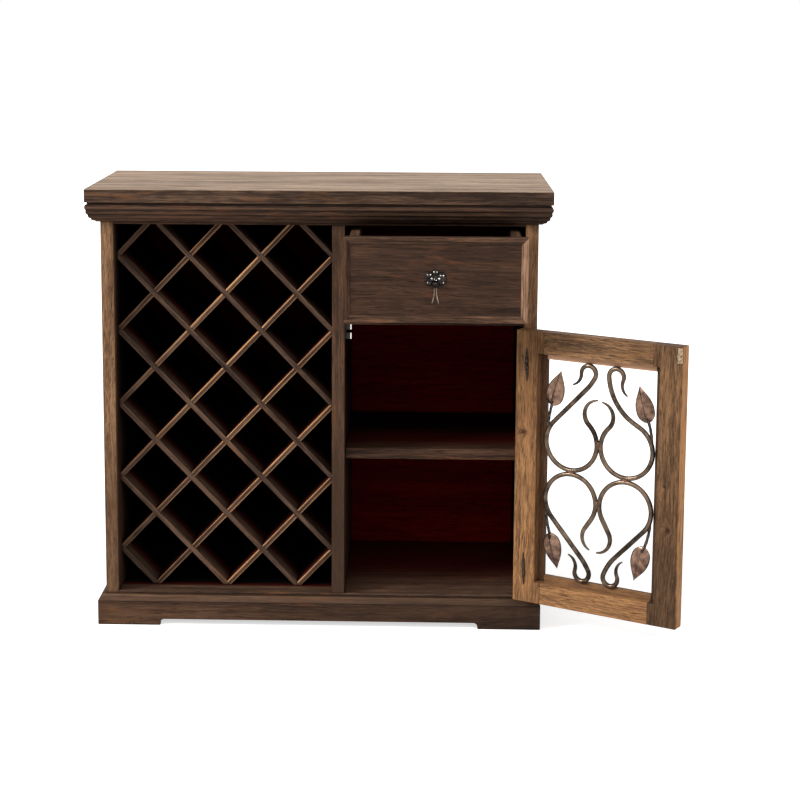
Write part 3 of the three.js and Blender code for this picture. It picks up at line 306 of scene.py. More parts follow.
    # Painted shade: the falloff of the light from the left, darker towards the cabinet's right.
    if falloff_shade:
        share = n.span(parts["X"], CARCASS.x - 0.48, CARCASS.x + 0.30, 0.0, falloff_shade)
        if face is not None:
            share = n.math("MULTIPLY", share, n.math("LESS_THAN", parts["Z"], face[1] - 0.001))
        colour = n.mix(share, colour, tuple(c * 0.6 for c in dark))
    # Painted shade in the door's rebate, and painted light where its colour is pale, as on the top rail's ledge.
    if rebate_shading:
        closed = n.add("ShaderNodeMapping", vector_type="TEXTURE")
        n.put(closed.inputs["Vector"], place)
        closed.inputs["Location"].default_value = DOOR_AXIS
        closed.inputs["Rotation"].default_value = (0, 0, DOOR_OPEN)
        local = n.parts(closed.outputs[0])
        ledge, wall, tint = rebate_shading
        inside = n.math(
            "MULTIPLY",
            n.math("LESS_THAN", local["Y"], (DOOR_INNER - 0.6) * MM),
            n.math("GREATER_THAN", local["Y"], (DOOR_OUTER + 0.6) * MM),
        )
        deep = n.math("LESS_THAN", local["Y"], (DOOR_INNER - 17.6) * MM)
        for axis, middle_at, half in (
            ("X", (DOOR_LEFT + DOOR_RIGHT) / 2, (DOOR_RIGHT - DOOR_LEFT) / 2 - STILE + REBATE + 0.4),
            ("Z", DOOR_MIDDLE_Z, DOOR_HEIGHT / 2 - RAIL + REBATE + 0.4),
        ):
            aside = n.math("ABSOLUTE", n.math("SUBTRACT", local[axis], middle_at * MM))
            inside = n.math("MULTIPLY", inside, n.math("LESS_THAN", aside, half * MM))
        share = n.math("MULTIPLY", inside, n.span(deep, 0.0, 1.0, wall, ledge))
        colour = n.mix(share, colour, tint)
        # Painted light on the door's free edge face.
        edge = n.math("LESS_THAN", local["X"], (DOOR_LEFT + 0.8) * MM)
        colour = n.mix(n.math("MULTIPLY", edge, n.span(tone, 0.1, 0.7, 0.2, 0.85)), colour, EDGE_LIGHT)
    # Painted shade in corners and seams, from ambient occlusion.
    crevice_shade = n.crevice(0.007)
    colour = n.mix(n.math("MULTIPLY", crevice_shade, 0.9), colour, tuple(c * 0.25 for c in dark))
    n.put(shader.inputs["Base Color"], colour)
    n.put(shader.inputs["Roughness"], n.span(streak, 0.3, 0.7, gloss + 0.10, gloss - 0.10))
    shader.inputs["Specular IOR Level"].default_value = specular
    height = n.weigh((fine, 0.6), (streak, 0.9), (broad, 0.6), (pore, -0.8))
    n.put(shader.inputs["Normal"], n.bump(height, 0.45, 0.0008))
    return material


def iron(name, light, dark, roughness=0.42, scale=90.0, metallic=0.85, bump=0.35):
    """Forged iron with a mottled, waxed finish."""
    material, n, shader = new_material(name)
    place = n.here()
    mottle = n.noise(place, scale, 5.0, 0.65)
    cloud = n.noise(place, scale * 0.22, 3.0, 0.6)
    tone = n.span(n.weigh((mottle, 0.5), (cloud, 0.5)), 0.36, 0.64)
    n.put(shader.inputs["Base Color"], n.ramp(tone, (0.0, dark), (1.0, light)))
    n.put(shader.inputs["Roughness"], n.span(mottle, 0.3, 0.7, roughness + 0.12, roughness - 0.08))
    shader.inputs["Metallic"].default_value = metallic
    n.put(shader.inputs["Normal"], n.bump(mottle, bump, 0.0008))
    return material


def steel(name, colour, roughness, shaded_to=None):
    """Plated sheet, brushed along its length, with a painted shadow up to a place on X where one is given."""
    material, n, shader = new_material(name)
    place = n.here()
    brushed = n.noise(n.scaled(place, (900.0, 12.0, 900.0)), detail=3.0, roughness=0.6)
    plated = n.ramp(brushed, (0.3, tuple(c * 0.7 for c in colour)), (0.7, colour))
    if shaded_to is not None:
        painted_shadow = n.math("LESS_THAN", n.parts(place)["X"], shaded_to)
        plated = n.mix(n.math("MULTIPLY", painted_shadow, 0.97), plated, linear(18, 13, 11))
    n.put(shader.inputs["Base Color"], plated)
    n.put(shader.inputs["Roughness"], n.span(brushed, 0.3, 0.7, roughness + 0.1, roughness - 0.05))
    shader.inputs["Metallic"].default_value = 1.0
    return material


# Stains, as (dark, middle, light, ember); the ones marked below are painted light or shade

DARK_STAIN = (linear(33, 22, 16), linear(54, 37, 27), linear(80, 56, 42), linear(96, 58, 37))
SLAB_STAIN = (linear(40, 29, 22), linear(70, 52, 41), linear(100, 77, 60), linear(108, 72, 46))
# Painted light: a lighter copy of the slab's wood for the top face, standing in for light from above and its sheen.
TOP_SHEEN = (linear(92, 73, 58), linear(138, 114, 93), linear(180, 154, 130), linear(184, 152, 122))
STILE_STAIN = (linear(66, 46, 33), linear(108, 79, 56), linear(147, 113, 82), linear(148, 104, 68))
FAR_STILE_STAIN = (linear(78, 55, 39), linear(128, 94, 67), linear(172, 133, 97), linear(172, 122, 80))
PLINTH_STAIN = (linear(34, 23, 17), linear(61, 42, 30), linear(90, 65, 47), linear(103, 66, 41))
MOULDING_STAIN = (linear(48, 34, 25), linear(80, 57, 43), linear(112, 83, 63), linear(120, 80, 52))
# Painted light: a lighter copy of the moulding's wood for its right uprights.
LIT_SIDE_STAIN = (linear(74, 53, 39), linear(118, 89, 69), linear(156, 121, 97), linear(160, 120, 90))
LATTICE_STAIN = (linear(39, 28, 23), linear(69, 52, 42), linear(96, 73, 58), linear(106, 73, 50))
DOOR_STAIN = (linear(74, 50, 33), linear(124, 88, 57), linear(161, 118, 77), linear(160, 108, 62))
DOOR_DARK_STAIN = (linear(58, 42, 30), linear(112, 82, 56), linear(154, 116, 81), linear(150, 102, 62))
FREE_STAIN = (linear(44, 31, 22), linear(85, 61, 41), linear(123, 91, 62), linear(120, 80, 49))
BOX_STAIN = (linear(40, 28, 21), linear(70, 50, 38), linear(100, 73, 55), linear(108, 70, 46))
# Painted shade: the dark maroon of the inside faces of the bays and drawer stands in for the shade inside them.
INSIDE_SHADE = (linear(58, 6, 4), linear(80, 9, 6), linear(96, 15, 10), linear(84, 34, 14))
BACK_STAIN = (linear(62, 46, 35), linear(92, 70, 54), linear(120, 94, 74), linear(126, 94, 68))
# Painted shade: the near black and the maroon of the recesses behind the front.
SHADOW_BLACK = linear(5, 2, 2)
SHADOW_MAROON = linear(46, 8, 5)
# Painted highlight on the rising lattice boards' arrises.
ARRIS_HIGHLIGHT = linear(200, 146, 98)

# Finish of each carried-over wooden piece: grain, stain, eased edge in mm, and what else the wood has

# Painted shade of the door's rebate.
REBATE_SHADE = linear(52, 34, 26)
CALM = {"figure": (0.36, 0.28, 0.36), "spread": 0.15}
SPECKLED = {"figure": (0.30, 0.26, 0.44), "spread": 0.13, "glow": 0.4, "short": 0.8}
BAYS = (-419.6, 419.6)
LEFT_BAY = (-419.6, (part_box("centre_divider")[0].x - CARCASS.x) / MM)
# Painted shade on the side boards' inner faces, darkening behind their front edges.
INNER_SIDE_SHADE = [(-12, 34, linear(26, 16, 11), BAYS), (30, 80, SHADOW_BLACK, BAYS)]
INNER_RIGHT_SHADE = [(0, 34, linear(26, 16, 11), BAYS), (30, 80, SHADOW_BLACK, BAYS)]
# Painted shade and light on the plinth: a dark line at its step, and a lighter bevel and top arris where the light
# falls.
PLINTH_LIGHT_AND_SHADE = ((49.9, 51.1, linear(24, 16, 12), 0.9), (51.8, 61.4, linear(128, 98, 76), 0.22), (61.4, 62.8, linear(126, 97, 76), 0.45))
# Painted shade in the reeds' grooves and painted highlights on their crowns.
REED_LIGHT_AND_SHADE = (
    (853.2, 854.4, linear(22, 16, 12), 0.75), (860.8, 862.0, linear(22, 16, 12), 0.75), (870.3, 871.6, linear(22, 16, 12), 0.75),
    (855, 857.5, linear(100, 74, 56), 0.2), (864, 867, linear(112, 80, 58), 0.28), (874, 878.5, linear(112, 84, 66), 0.3),
)
WOODEN = {
    "top_board": (ALONG_X, SLAB_STAIN, 1.2, {"face": ("Z", top_high.z, TOP_SHEEN), "gloss": 0.5, "falloff_shade": 0.25}),
    "cornice_front": (ALONG_X, DARK_STAIN, 0, {"falloff_shade": 0.25, "light_and_shade_bands": REED_LIGHT_AND_SHADE}),
    "cornice_left": (ALONG_Y, DARK_STAIN, 0, {"light_and_shade_bands": REED_LIGHT_AND_SHADE}),
    "cornice_right": (ALONG_Y, DARK_STAIN, 0, {"light_and_shade_bands": REED_LIGHT_AND_SHADE}),
    "sub_top": (ALONG_X, INSIDE_SHADE, 0.5, {"specular": 0.0}),
    "top_rail": (ALONG_X, DARK_STAIN, 0.8, {}),
    "left_side": (ALONG_Z, STILE_STAIN, 1.2, {"depth_shade": INNER_SIDE_SHADE, "shade": (0.62, 0.12, 0.6), **SPECKLED}),
    "right_side": (ALONG_Z, FAR_STILE_STAIN, 0.8, {"depth_shade": INNER_RIGHT_SHADE, **SPECKLED}),
    "centre_divider": (ALONG_Z, MOULDING_STAIN, 1.0, {
        "depth_shade": [(2, 34, SHADOW_MAROON, None), (30, 120, SHADOW_BLACK, None)], "shade": (0.62, 0.25, 0.8), **CALM,
    }),
    "floor_board": (ALONG_X, SLAB_STAIN, 1.0, {
        "depth_shade": [(20, 230, SHADOW_MAROON, None), (37, 50, SHADOW_MAROON, LEFT_BAY), (46, 72, SHADOW_BLACK, LEFT_BAY)], **CALM,
    }),
    "back_panel": (ALONG_X, INSIDE_SHADE, 0, {
        "specular": 0.0, "glow": 0.35, "face": ("Y", back_high.y, BACK_STAIN), **CALM,
    }),
    "drawer_rail": (ALONG_X, DARK_STAIN, 1.0, {"depth_shade": [(2, 30, SHADOW_MAROON, None)]}),
    "shelf": (ALONG_X, DARK_STAIN, 1.0, {"depth_shade": [(45, 130, SHADOW_MAROON, None), (150, 260, SHADOW_BLACK, None)]}),
    "plinth_front": (ALONG_X, PLINTH_STAIN, 0.8, {"falloff_shade": 0.5, "light_and_shade_bands": PLINTH_LIGHT_AND_SHADE, **CALM}),
    "plinth_left": (ALONG_Y, PLINTH_STAIN, 0.8, {"light_and_shade_bands": PLINTH_LIGHT_AND_SHADE, **CALM}),
    "plinth_right": (ALONG_Y, PLINTH_STAIN, 0.8, {"light_and_shade_bands": PLINTH_LIGHT_AND_SHADE, **CALM}),
    "plinth_back": (ALONG_X, PLINTH_STAIN, 0.8, {}),
    "drawer_front": (ALONG_X, DARK_STAIN, 0.8, {"glow": 0.5, **CALM}),
    "drawer_left_side": (ALONG_Y, BOX_STAIN, 1.0, {}),
    "drawer_right_side": (ALONG_Y, BOX_STAIN, 1.0, {}),
    "drawer_back": (ALONG_X, INSIDE_SHADE, 1.0, {"specular": 0.0}),
    "drawer_bottom": (ALONG_X, BOX_STAIN, 0, {}),
    "door_hinge_stile": (ALONG_Z, DOOR_STAIN, 1.2, {
        "rebate_shading": (0.7, 0.2, REBATE_SHADE), "knots": (on_door(-20.5, 427, 5.5, 0.014),),
        "shade": (0.34, 0.60, 0.32), **SPECKLED,
    }),
    "door_free_stile": (ALONG_Z, FREE_STAIN, 1.2, {
        "rebate_shading": (0.75, 0.4, REBATE_SHADE), "knots": (on_door(-340, 270, 5, 0.012), on_door(-331, 356.5, 3, 0)),
        "shade": (0.38, 0.16, 0.5), **SPECKLED,
    }),
    # The top rail's pale rebate colour is a painted light on its ledge.
    "door_top_rail": (ALONG_DOOR, DOOR_DARK_STAIN, 0.8, {"rebate_shading": (0.8, 0.2, linear(206, 160, 128)), **SPECKLED}),
    "door_bottom_rail": (ALONG_DOOR, DOOR_STAIN, 0.8, {"rebate_shading": (0.5, 0.1, REBATE_SHADE), **SPECKLED}),
}

rosette_finish = iron("rosette_iron", linear(52, 47, 43), linear(12, 11, 10), 0.24, 260.0)
# Near-white beads: polished iron, whose brightness is also a painted glint.
bead_glint_finish = iron("bead_glint_iron", linear(226, 220, 212), linear(150, 142, 134), 0.18, 260.0, bump=0.1)
drop_finish = iron("drop_iron", linear(134, 118, 106), linear(58, 50, 45), 0.24, 260.0)
hinge_finish = iron("hinge_iron", linear(66, 58, 52), linear(14, 12, 11), 0.22, 220.0)
strike_finish = iron("strike_bronze", linear(190, 168, 140), linear(104, 80, 58), 0.3, 300.0)
slide_finish = steel("slide_steel", linear(188, 190, 192), 0.32)
# The catch's steel is painted dark near the divider, a painted shadow.
catch_finish = steel("catch_steel", linear(232, 228, 220), 0.25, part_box("catch_body")[0].x + 10 * MM)
bar_finish = iron("bar_iron", linear(108, 90, 74), linear(36, 29, 24), 0.3, 60.0, metallic=0.95)
leaf_finish = iron("leaf_bronze", linear(142, 112, 94), linear(50, 34, 27), 0.2, 70.0, metallic=0.92)
rim_finish = iron("leaf_rim", linear(70, 50, 40), linear(24, 17, 13), 0.3, 120.0)
stem_finish = iron("stem_iron", linear(84, 73, 66), linear(14, 12, 11), 0.26, 160.0)
weld_finish = iron("weld_iron", linear(112, 76, 58), linear(54, 36, 28), 0.42, 200.0)


def dress(node, material, bevel):
    """Gives a CAD node its finish, and welds and eases its edges with modifiers."""
    node.data.materials.clear()
    node.data.materials.append(material)
    weld = node.modifiers.new("weld", "WELD")
    weld.merge_threshold = 0.00001
    if bevel:
        ease = node.modifiers.new("ease", "BEVEL")
        ease.width = bevel * MM
        ease.segments = 2
        ease.limit_method = "ANGLE"
        ease.angle_limit = math.radians(35)


shift = 0.0
for name, node in sorted(nodes.items()):
    shift += 0.731
    if name in WOODEN:
        grain, stain, bevel, more = WOODEN[name]
        made = wood(name, grain, stain, shift, **more)
    elif name.startswith("lattice_"):
        grain = FALLING if "falling" in name else RISING
        if "falling" in name:
            # Painted shade: the falling boards darken to maroon and black deep in the cells.
            made = wood(name, grain, LATTICE_STAIN, shift, depth_shade=[(72, 112, SHADOW_MAROON, None), (112, 146, SHADOW_BLACK, None)])
        else:
            # The rising boards darken behind the front as painted shade, and get a painted highlight along their
            # upper-left arris.
            across = [Vector(UPPER_LEFT).dot(node.matrix_world @ v.co) for v in node.data.vertices]
            middle, half = (min(across) + max(across)) / 2, (max(across) - min(across)) / 2
            edge = (UPPER_LEFT, middle, half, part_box(name)[0].y, ARRIS_HIGHLIGHT)
            made = wood(name, grain, LATTICE_STAIN, shift, depth_shade=[(49, 66, SHADOW_MAROON, None), (62, 110, SHADOW_BLACK, None)], lit=edge)
        bevel = 0.6
    elif name.startswith("slide"):
        made, bevel = slide_finish, 0
    elif name == "catch_body":
        made, bevel = catch_finish, 0
    elif name == "catch_strike":
        made, bevel = strike_finish, 0.2
    elif name.startswith("hinge"):
        made, bevel = hinge_finish, 0
    else:
        continue
    dress(node, made, bevel)

# The back panel's front edges close the gap round it
panel = nodes["back_panel"]
front_edge = panel.vertex_groups.new(name="front_edge")
middle = (back_low.y + back_high.y) / 2
front_edge.add([v.index for v in panel.data.vertices if (panel.matrix_world @ v.co).y < middle], 1, "REPLACE")
fill = panel.modifiers.new("fill", "DISPLACE")
fill.vertex_group = "front_edge"
fill.strength = 0.6 * MM
fill.mid_level = 0


# Mesh helpers

def mesh_object(name, made, materials):
    """An object from a bmesh, smooth but for its sharp edges."""
    bmesh.ops.remove_doubles(made, verts=made.verts, dist=0.0002 * MM)
    bmesh.ops.recalc_face_normals(made, faces=made.faces)
    data = bpy.data.meshes.new(name)
    made.to_mesh(data)
    made.free()
    for face in data.polygons:
        face.use_smooth = True
    data.set_sharp_from_angle(angle=math.radians(40))
    for material in materials:
        data.materials.append(material)
    placed = bpy.data.objects.new(name, data)
    bpy.context.scene.collection.objects.link(placed)
    return placed


def tube(made, points, radii, sides, normal, turn=0.0, index=0):
    """A closed tube along points, in the plane across normal, its section turned a little at each ring."""
    rings = []
    for i, (point, radius) in enumerate(zip(points, radii)):
        along = (points[min(i + 1, len(points) - 1)] - points[max(i - 1, 0)]).normalized()
        sideways = along.cross(normal).normalized()
        rings.append([
            made.verts.new(
                point
                + sideways * radius * math.cos(turn * i + 2 * math.pi * k / sides)
                + normal * radius * math.sin(turn * i + 2 * math.pi * k / sides)
            )
            for k in range(sides)
        ])
    faces = []
    for a, b in zip(rings, rings[1:]):
        faces += [made.faces.new((a[k], a[(k + 1) % sides], b[(k + 1) % sides], b[k])) for k in range(sides)]
    faces += [made.faces.new(rings[0]), made.faces.new(rings[-1][::-1])]
    for face in faces:
        face.material_index = index


def lathe(made, profile, sides, matrix, index=0, ring=False):
    """A closed turned form: profile is (radius, height along local Z) from end to end, or all round a ring."""
    rings = [
        [
            made.verts.new(matrix @ Vector((r * math.cos(2 * math.pi * k / sides), r * math.sin(2 * math.pi * k / sides), z)))
            for k in range(sides)
        ]
        for r, z in profile
    ]
    faces = []
    for a, b in zip(rings, rings[1:] + rings[:1] if ring else rings[1:]):
        faces += [made.faces.new((a[k], a[(k + 1) % sides], b[(k + 1) % sides], b[k])) for k in range(sides)]
    if not ring:
        faces += [made.faces.new(rings[0][::-1]), made.faces.new(rings[-1])]
    for face in faces:
        face.material_index = index


def ellipsoid(made, centre, radii, matrix=Matrix.Identity(4), segments=16, index=0):
    before = set(made.faces)
    place = matrix @ Matrix.Translation(centre) @ Matrix.Diagonal((*radii, 1))
    bmesh.ops.create_uvsphere(made, u_segments=segments, v_segments=segments // 2, radius=1, matrix=place)
    for face in set(made.faces) - before:
        face.material_index = index


def block(made, low, high, matrix=Matrix.Identity(4), index=0):
    before = set(made.faces)
    size = [h - l for l, h in zip(low, high)]
    centre = [(h + l) / 2 for l, h in zip(low, high)]
    place = matrix @ Matrix.Translation(centre) @ Matrix.Diagonal((*size, 1))
    bmesh.ops.create_cube(made, size=1, matrix=place)
    for face in set(made.faces) - before:
        face.material_index = index


# Scroll grille

BAR = 5.0
HALF_WIDTH = (DOOR_RIGHT - DOOR_LEFT) / 2 - STILE + LAP - BAR
HALF_HEIGHT = DOOR_HEIGHT / 2 - RAIL + LAP - BAR
LOOP_NEAR = BAR - 0.8
LOOP = (HALF_WIDTH - LOOP_NEAR) / 2
LOOP_MIDDLE = LOOP_NEAR + LOOP
HOOK, TAIL, CURL, NECK = 16.0, 24.0, 29.5, 30.0

# side, end, loop outer, sway, sway share, hook, tail, loop inner, neck share, curl, stem at, stem top, stem lean, leaf lean
SCROLLS = (
    (1, 1, 44, 16, 0.25, 207, 75, 134, 0.1, 135, 20, 0.49, 8, 15),
    (-1, 1, 61, 57, 0.93, 203, 79, 136, 0.1, 127, 15, 0.42, 10, 16),
    (1, -1, 42, 16, 0.25, 219, 87, 146, 0.8, 98, 15, 0.49, 9, 14),
    (-1, -1, 44, 24, 0.38, 220, 84, 151, 1.0, 120, 12, 0.47, 11, 16),
)


def bent_line(start, heading, bends):
    """Points along a bar: each bend is (length, radius, degrees), straight where the radius is 0."""
    heading = math.radians(heading)
    points = [start.copy()]
    here = start.copy()
    for length, radius, degrees in bends:
        turn = math.radians(degrees)
        steps = max(1, math.ceil(abs(degrees) / 4 if radius else length / 6))
        chord = 2 * radius * math.sin(abs(turn) / steps / 2) if radius else length / steps
        for i in range(steps):
            way = heading + turn * (i + 0.5) / steps
            here = here + Vector((math.cos(way), math.sin(way))) * chord
            points.append(here.copy())
        heading += turn
    return points


def on_loop(degrees):
    angle = math.radians(degrees)
    return Vector((LOOP_MIDDLE + LOOP * math.cos(angle), LOOP_MIDDLE + LOOP * math.sin(angle)))


def scroll_line(loop_outer, sway, sway_share, hook, tail, loop_inner, neck_share, curl):
    start = on_loop(loop_outer)
    leaving = math.radians(loop_outer + 90)
    hooking = math.radians(loop_outer + 90 - sway)
    rise = HALF_HEIGHT - HOOK * (1 - math.cos(hooking)) - start.y
    outer = bent_line(start, loop_outer + 90, (
        (rise * (1 - sway_share) / math.sin(leaving), 0, 0),
        (0, rise * sway_share / (math.cos(hooking) - math.cos(leaving)), -sway),
        (0, HOOK, -hook),
        (3, 0, 0),
        (0, TAIL, tail),
    ))
    loop = bent_line(on_loop(loop_inner), loop_inner + 90, ((0, LOOP, 360 + loop_outer - loop_inner),))
    inner = bent_line(on_loop(loop_inner), loop_inner - 90, ((NECK * neck_share, 0, 0), (0, CURL, curl)))
    return inner[::-1] + loop[1:] + outer[1:]


LEAF_WIDTHS = (0, 0.72, 0.95, 1, 0.98, 0.88, 0.7, 0.46, 0.2, 0)


def leaf_width(share):
    """Half width of a leaf as a share, at a share of its length."""
    place = share * (len(LEAF_WIDTHS) - 1)
    low = min(int(place), len(LEAF_WIDTHS) - 2)
    t = place - low
    points = [LEAF_WIDTHS[max(0, min(len(LEAF_WIDTHS) - 1, low + k))] for k in (-1, 0, 1, 2)]
    a, b, c, d = points
    if low == 0:
        return math.sqrt(max(t, 0)) * LEAF_WIDTHS[1]
    return max(0.0, b + 0.5 * t * (c - a + t * (2 * a - 5 * b + 4 * c - d + t * (3 * (b - c) + d - a))))


def add_leaf(made, length, matrix, index):
    """A beaten leaf: a raised midrib, sunk side veins, a rolled rim and a little thickness."""
    rows, half = 30, 9
    for face in (1, -1):
        grid = []
        for row in range(rows + 1):
            share = row / rows
            width = leaf_width(share)
            line = []
            for column in range(-half, half + 1):
                across = column / half
                ridge = 5.0 * (1 - abs(across)) ** 1.15 * width
                rib = 0.45 * math.exp(-((across * width * 20 / 1.3) ** 2)) * min(1.0, 6 * (1 - share)) * min(1, 8 * share)
                vein_place = (share * 7 - abs(across) * 1.5) % 1.0
                vein = -0.45 * math.exp(-(((vein_place - 0.5) / 0.10) ** 2)) * (1 - abs(across)) * width
                rim = 0.45 * math.exp(-(((1 - abs(across)) / 0.12) ** 2)) * width
                y = ridge + rib + vein + rim + face * 0.75 * (1 - across ** 4) * min(1.0, width * 3)
                line.append(made.verts.new(matrix @ Vector((across * width * length * 0.26, y, share * length))))
            grid.append(line)
        for a, b in zip(grid, grid[1:]):
            for k in range(2 * half):
                skin = made.faces.new((a[k], a[k + 1], b[k + 1], b[k]))
                skin.material_index = 4 if k in (0, 2 * half - 1) else index


def build_grille():
    made = bmesh.new()
    normal = Vector((0, 1, 0))
    for side, end, *bends, stem_at, stem_top, stem_lean, leaf_lean in SCROLLS:
        line = scroll_line(*bends)
        along = [0.0]
        for a, b in zip(line, line[1:]):
            along.append(along[-1] + (b - a).length)
        radii = []
        for length in along:
            share = min(1.0, min(length, along[-1] - length) / 70)
            forged = 1 + 0.012 * math.sin(length / 9.7 + side) + 0.01 * math.sin(length / 4.3 + end)
            radii.append((1.5 + 3.4 * math.sin(math.pi / 2 * share) ** 0.8) * forged)
        points = [Vector((side * p.x, 0, end * p.y)) for p in line]
        tube(made, points, radii, 20, normal)

        root = on_loop(stem_at)
        height = HALF_HEIGHT + BAR - 15 - LOOP_MIDDLE
        stem_height = LOOP_MIDDLE + height * stem_top - root.y
        reach = stem_height * math.tan(math.radians(stem_lean))
        steps = 40
        stem = []
        for i in range(steps + 1):
            share = i / steps
            stem.append(Vector((side * (root.x - share * share * reach), 0, end * (root.y + share * stem_height))))
        tube(made, stem, [3.1] * (steps + 1), 6, normal, math.radians(6), index=3)
        base = stem[-1]
        place = (
            Matrix.Translation(base - Vector((0, 0, end * 3.0)))
            @ Matrix.Diagonal((side, 1, end, 1))
            @ Matrix.Rotation(-math.radians(leaf_lean), 4, "Y")
        )
        add_leaf(made, height * 0.51, place, 1)
        ellipsoid(made, base, (3.8, 3.6, 5.0), index=3)
        ellipsoid(made, (0, 4.6, 8.0), (3.0, 2.2, 6.0), place, index=3)
    for x, z in ((0, LOOP_MIDDLE), (0, -LOOP_MIDDLE), (LOOP_MIDDLE, 0), (-LOOP_MIDDLE, 0)):
        wide, tall = (3.8, 10.5) if x == 0 else (10.5, 3.8)
        ellipsoid(made, (x, 0, z), (wide, 5.0, tall), index=2)
    lift = math.sqrt((BAR * math.cos(math.pi / 8) + 0.3) ** 2 - (BAR - LAP) ** 2)
    place = Matrix.Translation(((DOOR_LEFT + DOOR_RIGHT) / 2, DOOR_INNER - 18 + lift, DOOR_MIDDLE_Z))
    made.transform(DOOR @ place)
    grille = mesh_object("forged_grille", made, [bar_finish, leaf_finish, weld_finish, stem_finish, rim_finish])
    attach(grille, "door")
    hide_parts("scroll_grille")


build_grille()


# Drawer's moulding: a flat, then two beads that step down to the panel

def build_moulding():
    low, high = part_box("drawer_moulding")
    proud, flat, bead = 6.0, 5.0, 2.1
    outline = [(0.0, 0.3), (0.0, proud - 0.7), (0.25, proud - 0.2), (0.8, proud), (3.4, proud)]
    for start, height, reach, drop in ((3.4, proud, 5.2, 2.9), (9.0, 3.0, 3.9, 2.2)):
        for i in range(1, 9):
            angle = math.pi / 2 * i / 8
            outline.append((start + reach * math.sin(angle) ** 1.3, height - drop * (1 - math.cos(angle)) ** 0.8))
        outline.append((start + reach + 0.15, height - drop - 0.35))
    outline.append((flat + 4 * bead, 0.3))
    panel = low.y + proud * MM
    made = bmesh.new()
    rings = []
    for x, z, right, up in ((low.x, low.z, 1, 1), (high.x, low.z, -1, 1), (high.x, high.z, -1, -1), (low.x, high.z, 1, -1)):
        rings.append([made.verts.new((x + right * a * MM, panel - b * MM, z + up * a * MM)) for a, b in outline])
    count = len(outline)
    for a, b in zip(rings, rings[1:] + rings[:1]):
        for k in range(count):
            made.faces.new((a[k], a[(k + 1) % count], b[(k + 1) % count], b[k]))
    # Lit and shaded copies of the moulding's wood: the right uprights get a painted light, the left ones a painted
    # shade.
    finish = wood("drawer_moulding", ALONG_X, MOULDING_STAIN, 5.3)
    shaded_side = wood("drawer_moulding_upright", ALONG_Z, DARK_STAIN, 6.1)
    painted_light = wood("drawer_moulding_worn", ALONG_Z, LIT_SIDE_STAIN, 6.9)
    moulding = mesh_object("stepped_moulding", made, [finish, shaded_side, painted_light])
    for face in moulding.data.polygons:
        stands = abs(face.normal.z) < 0.01 and min(abs(face.center.x - low.x), abs(face.center.x - high.x)) < 14 * MM
        face.material_index = 0 if not stands else 1 if face.center.x < low.x + 20 * MM else 2
    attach(moulding, "drawer")
    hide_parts("drawer_moulding")


build_moulding()


# Pulls: a rosette with ears and a pin, and a drop that swings on the pin

SIDEWAYS = Matrix.Rotation(math.pi / 2, 4, "Y")
PETALS = (90, 141, 39, 180, 0, 219, 321, 270)
BEADS = (
    (-2.9, 13.6, 1.6), (2.9, 13.6, 1.6), (-15.6, 7.8, 1.6), (-9.8, 8.2, 1.7), (9.8, 6.8, 1.7), (15.8, 6.4, 1.6),
    (-7.2, 0.5, 2.5), (7.2, 0.5, 2.5), (-2.2, -1.2, 1.4), (1.6, -2.6, 1.2), (-15.4, -7.6, 1.6), (15.6, -7.8, 1.6),
)


def build_pull(name, body, drop_body, place):
    made = bmesh.new()
    ellipsoid(made, (0, 0, 0), (14, 3.4, 11), segments=32)
    ellipsoid(made, (0, 0, 0), (8, 4, 8), segments=32)
    for degrees in PETALS:
        angle = math.radians(degrees)
        at = Matrix.Translation((14.2 * math.cos(angle), 0, 10.2 * math.sin(angle))) @ Matrix.Rotation(-angle, 4, "Y")
        ellipsoid(made, (0, 0, 0), (8.6, 3.2, 6.6), at, segments=24)
        for side in (-1, 1):
            ellipsoid(made, (1.5, -1.6, side * 2.8), (5.8, 2.3, 2.6), at, segments=16)
    bmesh.ops.bisect_plane(
        made, geom=made.verts[:] + made.edges[:] + made.faces[:],
        plane_co=(0, -0.3, 0), plane_no=(0, 1, 0), clear_outer=True,
    )
    bmesh.ops.edgeloop_fill(made, edges=[edge for edge in made.edges if edge.is_boundary])
    for x, z, size in BEADS:
        ellipsoid(made, (x, -3.3, z), (size, size, size), index=1)
    for side in (-1, 1):
        block(made, (min(side * 5, side * 6.8), -9, -12), (max(side * 5, side * 6.8), -0.3, -6))
        lathe(made, ((2.7, side * 5), (3.0, side * 5.3), (3.0, side * 6.5), (2.7, side * 6.8)), 24,
              Matrix.Translation((0, -9, -9)) @ SIDEWAYS)
    lathe(made, ((1.3, -5.9), (1.3, 5.9)), 16, Matrix.Translation((0, -9, -9)) @ SIDEWAYS)
    made.transform(place)
    rosette = mesh_object(f"{name}_flower", made, [rosette_finish, bead_glint_finish])
    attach(rosette, body)
    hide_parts(f"{name}_rosette")

    made = bmesh.new()
    lathe(made, ((1.6, -4.3), (3.2, -4.3), (3.6, -3.9), (3.6, 3.9), (3.2, 4.3), (1.6, 4.3)), 24, SIDEWAYS, ring=True)
    start = -(3.6 + 1.3) / 2 - 0.85
    for side in (-1, 1):
        points, radii = [], []
        for i in range(25):
            t = i / 24
            across = side * (3.0 * (1 - t) ** 2 + 6.6 * t * t)
            down = start * (1 - t) ** 2 - 38 * t * (1 - t) - 38 * t * t
            points.append(Vector((across, 0, down)))
            radii.append(1.6 - 0.35 * math.sin(math.pi * t) if t < 0.9 else 1.45 - 6 * (t - 0.9))
        tube(made, points, radii, 12, Vector((0, 1, 0)))
    for face in made.faces:
        face.material_index = 1 if face.calc_center_median().z > -9 else 0
    made.transform(place @ Matrix.Translation((0, -9, -9)))
    drop = mesh_object(f"{name}_tails", made, [drop_finish, rosette_finish])
    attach(drop, drop_body)
    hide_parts(f"{name}_drop")


